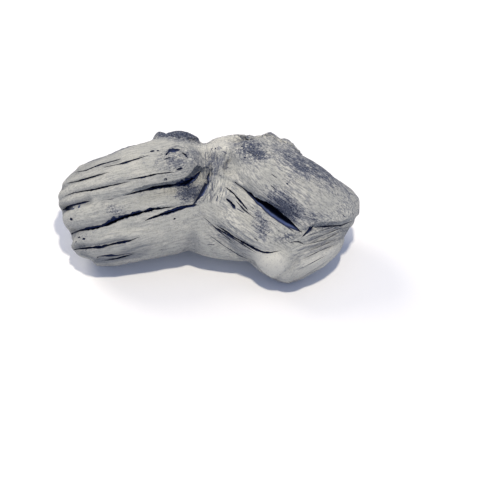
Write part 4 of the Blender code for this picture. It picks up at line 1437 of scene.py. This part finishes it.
    def mark_strewn(self, obj: bpy.types.Object) -> None:
        """Marks how thickly pits and nicks lie on the surface, and which way the grain runs.

        Args:
            obj: the lump.
        """
        points, normals = read_mesh(obj)
        crackled = soot_at(see(points, normals), Trait.CRACKLED)
        store(obj, "pitted", np.clip(BARE_PITS + CRACKLE_PITS * crackled ** 2, 0, 1))
        weights = zone_weights(points)
        nicked = sum(weight * ZONES[name].nicked for name, weight in weights.items())
        store(obj, "nicked", nicked * NICK_CLOUDS.at(points))
        way = sum(weight[:, None] * np.array(grain_axes(ZONES[name])[0])
                  for name, weight in weights.items())
        way -= normals * (way * normals).sum(axis=1)[:, None]
        layer = obj.data.attributes.new("grain_way", "FLOAT_VECTOR", "POINT")
        layer.data.foreach_set("vector", way.ravel().astype(np.float32))

    def paint(self, obj: bpy.types.Object, uncut: BVHTree) -> None:
        """Stores what the finish reads: depth, creases, soot, crackle and the grain's zones.

        Args:
            obj: the cut lump.
            uncut: the surface before the cuts.
        """
        points, normals = read_mesh(obj)
        sides = see(points, normals)
        # how deep each point lies under the uncut surface, which the finish paints as navy shade
        cavity = np.array([uncut.find_nearest(Vector(point))[3] for point in points]) / MM
        cavity[points[:, 2] < self.ground_clear] = 0
        store(obj, "cavity", cavity)
        middles = np.array([face.center for face in obj.data.polygons])
        gaps = np.array([uncut.find_nearest(Vector(point))[3] for point in middles]) / MM
        cut = (gaps > self.least_gap) & (middles[:, 2] > self.ground_clear)
        layer = obj.data.attributes.new("cut", "FLOAT", "FACE")
        layer.data.foreach_set("value", cut.astype(np.float32))
        # how deep the creases sink each point, which the finish paints as shade
        store(obj, "crease", sum(mark.sunk(sides) for mark in [*CREASES, *strand_creases()]) / MM)
        # a fine line along each strand's crease, which the finish paints as shade
        store(obj, "strand", np.maximum.reduce([crease.drawn(sides) for crease in strand_creases()]))
        store(obj, "soot", soot_at(sides, Trait.SOOTY))
        store(obj, "crackle", soot_at(sides, Trait.CRACKLED))
        store(obj, "thick", soot_at(sides, Trait.THICK))
        weights = zone_weights(points)
        streaky = sum(weight * ZONES[name].streaky for name, weight in weights.items())
        smooth = np.clip(soot_at(sides, Trait.THICK), 0, 1)
        store(obj, "streaky", streaky * STREAK_CLOUDS.at(points) * (1 - THICK_HIDES * smooth))
        for name, weight in weights.items():
            store(obj, "grain_" + name, weight)

    def fit(self, obj: bpy.types.Object) -> Vector:
        """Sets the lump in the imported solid's box, no larger than it and flat on the ground.

        Args:
            obj: the lump.

        Returns:
            Where the middle of its broad face has come to lie.
        """
        low, high = (np.array(corner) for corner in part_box(NODE))
        points, _ = read_mesh(obj)
        mine_low, mine_high = points.min(axis=0), points.max(axis=0)
        shrink = np.minimum((high - low) / (mine_high - mine_low), 1)
        LOG.info("size in mm %s, scaled by %s", np.round((mine_high - mine_low) / MM, 2), shrink)
        points = (points - (mine_low + mine_high) / 2) * shrink
        points[:, :2] += ((low + high) / 2)[:2]
        points[:, 2] += low[2] - points[:, 2].min()
        write_points(obj, points)
        obj.data.shade_smooth()
        obj.data.set_sharp_from_angle(angle=self.sharp_angle)
        moved = ((low + high) - (mine_low + mine_high)) / 2
        LOG.info("moved by %s mm", np.round(moved[:2] / MM, 2))
        return FACE_CENTRE + Vector((moved[0], moved[1], 0))


def strand_creases() -> list[Crease]:
    """The creases of every sheaf of strands."""
    return [crease for strands in STRANDS for crease in strands.creases()]


def loft(name: str, rings: list) -> bpy.types.Object:
    """Makes a closed tube through rings of equally many points, with a cap at each end.

    Args:
        name: the tube's name.
        rings: the rings, each a list of points.

    Returns:
        The tube.
    """
    count = len(rings[0])
    faces = [tuple(reversed(range(count)))]
    for i in range(len(rings) - 1):
        for j in range(count):
            k = (j + 1) % count
            faces.append((i * count + j, i * count + k, (i + 1) * count + k, (i + 1) * count + j))
    faces.append(tuple(range((len(rings) - 1) * count, len(rings) * count)))
    return new_object(name, [point for ring in rings for point in ring], [], faces)


def read_mesh(obj: bpy.types.Object) -> tuple[np.ndarray, np.ndarray]:
    """Reads an object's points.

    Args:
        obj: the object.

    Returns:
        The points and their normals, one to a row.
    """
    mesh = obj.data
    points = np.empty(len(mesh.vertices) * 3)
    mesh.vertices.foreach_get("co", points)
    normals = np.empty(len(mesh.vertices) * 3)
    mesh.vertex_normals.foreach_get("vector", normals)
    return points.reshape(-1, 3), normals.reshape(-1, 3)


def write_points(obj: bpy.types.Object, points: np.ndarray) -> None:
    """Moves the object's points."""
    obj.data.vertices.foreach_set("co", points.ravel())
    obj.data.update()


def store(obj: bpy.types.Object, label: str, values: np.ndarray) -> None:
    """Stores a number for each point of an object."""
    layer = obj.data.attributes.get(label) or obj.data.attributes.new(label, "FLOAT", "POINT")
    layer.data.foreach_set("value", values.astype(np.float32))


def zone_weights(points: np.ndarray) -> dict[str, np.ndarray]:
    """Works out how much each grain zone holds at each point.

    Args:
        points: the points, one to a row.

    Returns:
        Each zone's weights, by its name. At every point they add up to 1.
    """
    places = Side.FRONT.places(points)
    waver = ZONE_WAVER * noise_at(points / ZONE_WAVER_SIZE)
    weights = {
        name: np.exp(-ZONE_EDGE * (zone.distance(places) ** 2 + waver * (i % 2))) + TINY
        for i, (name, zone) in enumerate(ZONES.items())
    }
    total = sum(weights.values())
    return {name: weight / total for name, weight in weights.items()}


def grain_axes(zone: GrainZone) -> Matrix:
    """Works out a zone's axes.

    Args:
        zone: the zone.

    Returns:
        Its axes as rows: along the grain, across it and out of the face.
    """
    angle = math.radians(zone.grain)
    along = FACE_U * math.cos(angle) + FACE_V * math.sin(angle)
    across = FACE_V * math.cos(angle) - FACE_U * math.sin(angle)
    return Matrix((along, across, FACE_W))


def zone_places(points: np.ndarray, zone: GrainZone, length: float, width: float) -> np.ndarray:
    """Points in a zone's own axes, measured in a pattern's length and width."""
    turned = (points - np.array(FACE_CENTRE)) @ np.array(grain_axes(zone)).T
    return turned / np.array((length, width, width))


def soot_at(sides: Sides, trait: Trait) -> np.ndarray:
    """How strongly the soot patches show at each point.

    Args:
        sides: what each side sees of the surface.
        trait: what is asked of the patches.

    Returns:
        The largest value that any patch has there.
    """
    most = np.zeros(len(sides[Side.FRONT].places))
    for patch in SOOT:
        seen = sides[patch.side]
        distance = ellipse_distance(seen.places, patch.middle, patch.halves, patch.turn)
        value = getattr(patch, trait.value) * np.exp(-(distance ** 2) * PATCH_EDGE)
        most = np.maximum(most, value * seen.facing)
    return most


def weigh(name: str, patterns: dict[str, float]) -> list[Row]:
    """Rows that add patterns up, each by its weight.

    Args:
        name: what the last row, which holds the sum, is called.
        patterns: the weights by the names of the patterns' rows.

    Returns:
        The rows.
    """
    rows = []
    total = {}
    for i, (pattern, weight) in enumerate(patterns.items()):
        label = name if i == len(patterns) - 1 else f"{name}_{i}"
        rows.append(Row(label, MATH, {"operation": "MULTIPLY_ADD", 1: weight, 2: 0.0},
                        {0: pattern, **total}))
        total = {2: label}
    return rows


@dataclass(frozen=True)
class Clouds:
    """Cloudy unevenness over the surface: its size, where it begins and is full, and its range."""

    size: float
    begins: float
    full: float
    least: float
    gain: float

    def at(self, points: np.ndarray) -> np.ndarray:
        """How strong it is at each point."""
        return self.least + self.gain * smooth_step(noise_at(points / self.size), self.begins, self.full)


NICK_CLOUDS = Clouds(size=9 * MM, begins=-0.25, full=0.35, least=0.1, gain=0.5)
STREAK_CLOUDS = Clouds(size=11 * MM, begins=-0.35, full=0.3, least=0.35, gain=0.85)


@dataclass(frozen=True)
class Coat:
    """A coat of one colour, laid where a sum of patterns passes from the first value to the second.

    Its gate is a pattern that also holds it back.
    """

    name: str
    colour: str
    values: tuple[float, float]
    strength: float
    patterns: dict[str, float]
    gate: str = ""

    def rows(self, under: str) -> list[Row]:
        """Rows that lay the coat.

        Args:
            under: the row that holds the colour under it, or that colour as a hex code.

        Returns:
            The rows. The last has the coat's name, and the one called NAME_share says how fully
            the coat lies.
        """
        value, share = self.name + "_value", self.name + "_share"
        low, high = self.values
        ramp = share + "_free" if self.gate else share
        rows = weigh(value, self.patterns)
        rows.append(Row(ramp, RANGE, {"interpolation_type": "SMOOTHSTEP", "From Min": low,
                                      "From Max": high, "To Max": self.strength}, {"Value": value}))
        if self.gate:
            rows.append(Row(share, MATH, {"operation": "MULTIPLY"}, {0: ramp, 1: self.gate}))
        flat = {MIX_UNDER: srgb(under)} if under.startswith("#") else {}
        rows.append(Row(self.name, MIX, {"data_type": "RGBA", MIX_OVER: srgb(self.colour), **flat},
                        {0: share} if flat else {0: share, MIX_UNDER: under}))
        return rows


@dataclass(frozen=True)
class AshedCharcoal:
    """Hardwood charcoal, burnt in a kiln and left under its own ash.

    The char is near black and dull. Its splits, pits and nicks are painted navy as the shade in
    them, darkest deep in the gash, and its creases are painted darker where shade falls in them.
    The ash lies on it as a thin, dead-matt, pale grey coat that is worn along the grain, so that
    the wood's streaks show through as short dark and light strokes. Where the coat is gone the
    char shows as darker, faintly satin patches, crackled into scales.
    """

    pale_ash: str = "#CBC9BE"
    light_ash: str = "#B0AFA7"
    dull_ash: str = "#A9A9A2"
    worn_ash: str = "#96968F"
    thin_ash: str = "#7F8186"
    # bare char; the same colour also paints the shade in creases and along strand lines
    soot: str = "#474D5C"
    # wall, char and hollow paint the bare char of the splits with the navy of the shade in them: wall on
    # the cut faces and just under the surface, char brighter so that the dim depths still show navy, and
    # hollow darkest, deepest in the gash
    wall: str = "#323B56"
    char: str = "#5A6A9C"
    coal: str = "#2B2E3A"
    hollow: str = "#1C2740"
    ior: float = 1.45
    specular: float = 0.25  # a dusty surface gives back little of its gloss
    ash_roughness: float = 0.95
    soot_roughness: float = 0.72
    # The wood's growth rings and its fibres: length and width in mm, and finer layers. The fibres
    # are drawn about three times as coarse as they are, because finer ones wouldn't show.
    coarse: tuple[float, float, float] = (24.0, 1.9, 3.0)
    fine: tuple[float, float, float] = (5.5, 0.85, 1.0)
    # The drifts, the flecks and the grains of the ash: size in mm and finer layers.
    clouds: tuple[float, float] = (11.0, 4.0)
    mottle: tuple[float, float] = (2.6, 3.0)
    grit: tuple[float, float] = (0.8, 2.0)
    scale_size: float = 2.6 * MM  # a scale of crackled char, and how far its edges swirl
    scale_swirl: float = 4.0 * MM
    # Relief in mm: ripples by length, width and height, and char scales by size and height.
    ripples: tuple[tuple[float, float, float], ...] = ((30.0, 3.0, 0.4), (14.0, 1.4, 0.2))
    scales: tuple[tuple[float, float], ...] = ((3.2, 0.5), (1.5, 0.3))
    bump: float = 0.4 * MM
    bump_strength: float = 0.9

    def streak(self, name: str, length: float, width: float, detail: float) -> list[Row]:
        """Noise drawn out along each zone's grain.

        Args:
            name: what the last row, which holds the noise, is called.
            length: the noise's length along the grain, in mm.
            width: its width across the grain, in mm.
            detail: how many finer layers it has.

        Returns:
            The rows.
        """
        rows = []
        total = {}
        for i, (zone_name, zone) in enumerate(ZONES.items()):
            turned, grain, part = (f"{name}_{zone_name}_{what}" for what in ("turned", "grain", "part"))
            if i == len(ZONES) - 1:
                part = name
            rows += [
                Row(turned, "ShaderNodeMapping",
                    {"vector_type": "TEXTURE", "Location": FACE_CENTRE,
                     "Rotation": grain_axes(zone).transposed().to_euler(),
                     "Scale": (length * MM, width * MM, width * MM)}, {"Vector": "place.Object"}),
                Row(grain, NOISE, {"Scale": 1.0, "Detail": detail}, {"Vector": turned}),
                Row(part, MATH, {"operation": "MULTIPLY_ADD", 2: 0.0},
                    {0: grain, 1: "grain_" + zone_name, **total}),
            ]
            total = {2: part}
        return rows

    def patterns(self) -> list[Row]:
        """The stored numbers and the noises that the finish is made of.

        Returns:
            The rows.
        """
        stored = ("soot", "crackle", "thick", "crease", "strand", "cavity", "cut", "streaky")
        labels = [*stored, *("grain_" + name for name in ZONES)]
        rows = [Row("place", "ShaderNodeTexCoord")]
        rows += [Row(label, "ShaderNodeAttribute", {"attribute_name": label}) for label in labels]
        rows += self.streak("coarse", *self.coarse)
        rows += self.streak("fine", *self.fine)
        for name in ("clouds", "mottle", "grit"):
            size, detail = getattr(self, name)
            rows.append(Row(name, NOISE, {"Scale": 1 / (size * MM), "Detail": detail},
                            {"Vector": "place.Object"}))
        rows += [
            Row("swirl", VECTOR, {"operation": "MULTIPLY_ADD", 1: (self.scale_swirl,) * 3},
                {0: "mottle.Color", 2: "place.Object"}),
            Row("scales", "ShaderNodeTexVoronoi",
                {"feature": "DISTANCE_TO_EDGE", "Scale": 1 / self.scale_size}, {"Vector": "swirl"}),
            Row("crossing", MATH, {"operation": "SUBTRACT", 1: 0.5}, {0: "coarse"}),
            Row("off_middle", MATH, {"operation": "ABSOLUTE"}, {0: "crossing"}),
        ]
        return rows

    def coats(self) -> list[Coat]:
        """The coats of colour, from the lowest to the top one, over dull ash.

        Returns:
            The coats.
        """
        worn = {"soot": 1.0, "coarse": -0.7, "fine": -1.1, "mottle": -0.9, "clouds": -1.0, "grit": -0.8}
        return [
            Coat("light", self.light_ash, (0.47, 0.56), 1.0, {"clouds": 0.55, "mottle": 0.45}),
            Coat("tooth", self.worn_ash, (0.51, 0.43), 0.8, {"grit": 0.6, "fine": 0.4}),
            # thick, smooth ash, paler; on the shoulder and the chin it is also painted light
            Coat("dusted", self.pale_ash, (0.2, 0.9), 0.8, {"thick": 1.0}),
            Coat("pores", self.thin_ash, (0.57, 0.66), 0.55, {"grit": 0.8, "mottle": 0.2}),
            Coat("strokes", self.thin_ash, (0.48, 0.41), 0.9, {"fine": 1.0}, "streaky"),
            Coat("glints", self.pale_ash, (0.54, 0.61), 0.8, {"fine": 1.0}, "streaky"),
            Coat("hairlines", self.soot, (0.016, 0.004), 0.7, {"off_middle": 1.0}, "streaky"),
            Coat("worn", self.thin_ash, (-1.95, -1.6), 0.8, worn),
            Coat("bare", self.soot, (-1.65, -1.25), 1.0, worn),
            Coat("flecks", self.light_ash, (0.56, 0.64), 0.6, {"grit": 1.0}, "crackle"),
            Coat("scale_edges", self.soot, (0.22, 0.07), 1.0, {"scales": 1.0}, "crackle"),
            Coat("specks", self.coal, (0.48, 0.4), 0.8, {"grit": 0.7, "fine": 0.3}, "soot"),
            # painted shade: darker where the creases sink deeper
            Coat("crease_shade", self.soot, (0.5, 2.4), 0.3, {"crease": 1.0}),
            # painted shade: a fine dark line along the bottom of each strand's crease
            Coat("strand_line_shade", self.soot, (0.25, 0.8), 0.52, {"strand": 1.0}),
            # painted shade: the cut walls are bare char painted navy, more so the deeper a point lies
            # under the uncut surface, and darkest deepest in the gash
            Coat("walls", self.wall, (0.0, 1.0), 1.0, {"cut": 1.0}),
            Coat("pit_shade", self.wall, (0.3, 1.2), 1.0, {"cavity": 1.0}),
            Coat("depths", self.char, (0.8, 3.4), 1.0, {"cavity": 1.0}),
            Coat("hollow", self.hollow, (3.6, 6.0), 1.0, {"cavity": 1.0}),
        ]

    def material(self) -> bpy.types.Material:
        """Builds the material.

        Returns:
            The material.
        """
        made = bpy.data.materials.new(SLOT)
        made.use_nodes = True
        tree = made.node_tree
        shader = tree.nodes["Principled BSDF"]
        shader.inputs["IOR"].default_value = self.ior
        shader.inputs["Metallic"].default_value = 0.0
        shader.inputs["Specular IOR Level"].default_value = self.specular
        rows = self.patterns()
        colour = self.dull_ash
        for coat in self.coats():
            rows += coat.rows(colour)
            colour = coat.name
        rows += [
            Row("smooth", MATH, {"operation": "MAXIMUM"}, {0: "bare_share", 1: "walls_share"}),
            Row("rough", RANGE, {"To Min": self.ash_roughness, "To Max": self.soot_roughness},
                {"Value": "smooth"}),
            *weigh("drawn", {"fine": 0.9, "coarse": 0.3}),
            Row("lines", MATH, {"operation": "MULTIPLY"}, {0: "drawn", 1: "streaky"}),
            Row("cracked", MATH, {"operation": "MULTIPLY"}, {0: "grit", 1: "crackle"}),
            *weigh("height", {"lines": 1.0, "mottle": 0.5, "grit": 0.4, "cracked": 1.2}),
            Row("bump", "ShaderNodeBump", {"Strength": self.bump_strength, "Distance": self.bump},
                {"Height": "height"}),
        ]
        nodes = follow(tree, rows)
        tree.links.new(nodes[colour].outputs[MIXED], shader.inputs["Base Color"])
        tree.links.new(nodes["rough"].outputs["Result"], shader.inputs["Roughness"])
        tree.links.new(nodes["bump"].outputs["Normal"], shader.inputs["Normal"])
        return made


@dataclass(frozen=True)
class MattFloor:
    """White-painted board, rolled on in a dead-matt coat: a plain pale floor with a soft tooth."""

    paint: str = "#ECECEC"
    roughness: float = 0.9
    tooth: float = 0.8 * MM  # the roller leaves a grain of this size, and about as high as the relief
    relief: float = 0.05 * MM
    relief_strength: float = 0.1

    def material(self) -> bpy.types.Material:
        """Builds the material.

        Returns:
            The material.
        """
        made = bpy.data.materials.new("matt_white_board")
        made.use_nodes = True
        tree = made.node_tree
        shader = tree.nodes["Principled BSDF"]
        shader.inputs["Base Color"].default_value = srgb(self.paint)
        shader.inputs["Roughness"].default_value = self.roughness
        place = add_node(tree, "ShaderNodeTexCoord").outputs["Object"]
        tooth = add_node(tree, "ShaderNodeTexNoise", {"Scale": 1 / self.tooth}, {"Vector": place})
        bump = add_node(tree, "ShaderNodeBump",
                        {"Strength": self.relief_strength, "Distance": self.relief},
                        {"Height": tooth.outputs[0]})
        tree.links.new(bump.outputs["Normal"], shader.inputs["Normal"])
        return made


@dataclass
class Studio:
    """The floor, the light and the camera.

    The lights shine from their ways towards the lump, and the camera stands off its broad face.
    """

    floor_half: float = 1.6
    key_way: tuple[float, float, float] = (0.1, -0.14, 0.95)
    light_distance: float = 1.6
    key_size: float = 0.1
    key_power: float = 19.2
    key_colour: str = "#FFF5E2"
    fill_colour: str = "#C4D2F8"
    fill_strength: float = 0.64
    rear_way: tuple[float, float, float] = (-0.6, 0.5, 0.65)
    rear_size: float = 0.9
    rear_power: float = 13.0
    rear_colour: str = "#FFF6E6"
    sensor: float = 36.0
    frame_width: float = 301.2 * MM
    frame_centre: Place = (25.8, -25.2)  # where the camera aims on the broad face, in mm
    clip_start: float = 50 * MM

    def build(self, centre: Vector) -> None:
        """Builds the studio round the lump.

        Args:
            centre: the middle of the lump's broad face.
        """
        self.floor()
        self.lights(centre)
        self.camera(centre)
        bpy.context.scene.view_settings.view_transform = "Standard"

    def floor(self) -> None:
        """The floor, with its top on the ground plane."""
        half = self.floor_half
        corners = [(-half, -half, 0), (half, -half, 0), (half, half, 0), (-half, half, 0)]
        made = new_object("floor", corners, [], [(0, 1, 2, 3)])
        made.data.materials.append(MattFloor().material())

    def lights(self, centre: Vector) -> None:
        """Sets a small key overhead, a broad soft light behind and a cool fill all round.

        Args:
            centre: the middle of the lump's broad face.
        """
        for name, way, size, power, colour in (
                ("key", self.key_way, self.key_size, self.key_power, self.key_colour),
                ("rear", self.rear_way, self.rear_size, self.rear_power, self.rear_colour)):
            light = bpy.data.lights.new(name, "AREA")
            light.shape = "DISK"
            light.size = size
            light.energy = power
            light.color = srgb(colour)[:3]
            made = bpy.data.objects.new(name, light)
            out = Vector(way).normalized()
            made.location = centre + out * self.light_distance
            made.rotation_euler = out.to_track_quat("Z", "Y").to_euler()
            bpy.context.scene.collection.objects.link(made)
        world = bpy.data.worlds.new("studio")
        world.use_nodes = True
        sky = world.node_tree.nodes["Background"]
        sky.inputs["Color"].default_value = srgb(self.fill_colour)
        sky.inputs["Strength"].default_value = self.fill_strength
        bpy.context.scene.world = world

    def camera(self, centre: Vector) -> None:
        """Sets the camera square to the broad face.

        Args:
            centre: the middle of the lump's broad face.
        """
        lens = bpy.data.cameras.new("camera")
        lens.sensor_width = self.sensor
        lens.lens = self.sensor * EYE_DISTANCE / self.frame_width
        lens.clip_start = self.clip_start
        made = bpy.data.objects.new("camera", lens)
        aim = centre + FACE_U * self.frame_centre[0] * MM + FACE_V * self.frame_centre[1] * MM
        turn = Matrix((FACE_U, FACE_V, FACE_W)).transposed().to_4x4()
        made.matrix_world = Matrix.Translation(aim + FACE_W * EYE_DISTANCE) @ turn
        bpy.context.scene.collection.objects.link(made)
        bpy.context.scene.camera = made


def main() -> None:
    """Builds the piece and the studio round it."""
    logging.basicConfig(level=logging.INFO, format="%(name)s: %(message)s")
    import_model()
    piece, centre = Lump(AshedCharcoal()).build()
    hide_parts(NODE)
    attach(piece, "root")
    LOG.info("%s: %d faces", piece.name, len(piece.data.polygons))
    Studio().build(centre)


if __name__ == "__main__":
    main()
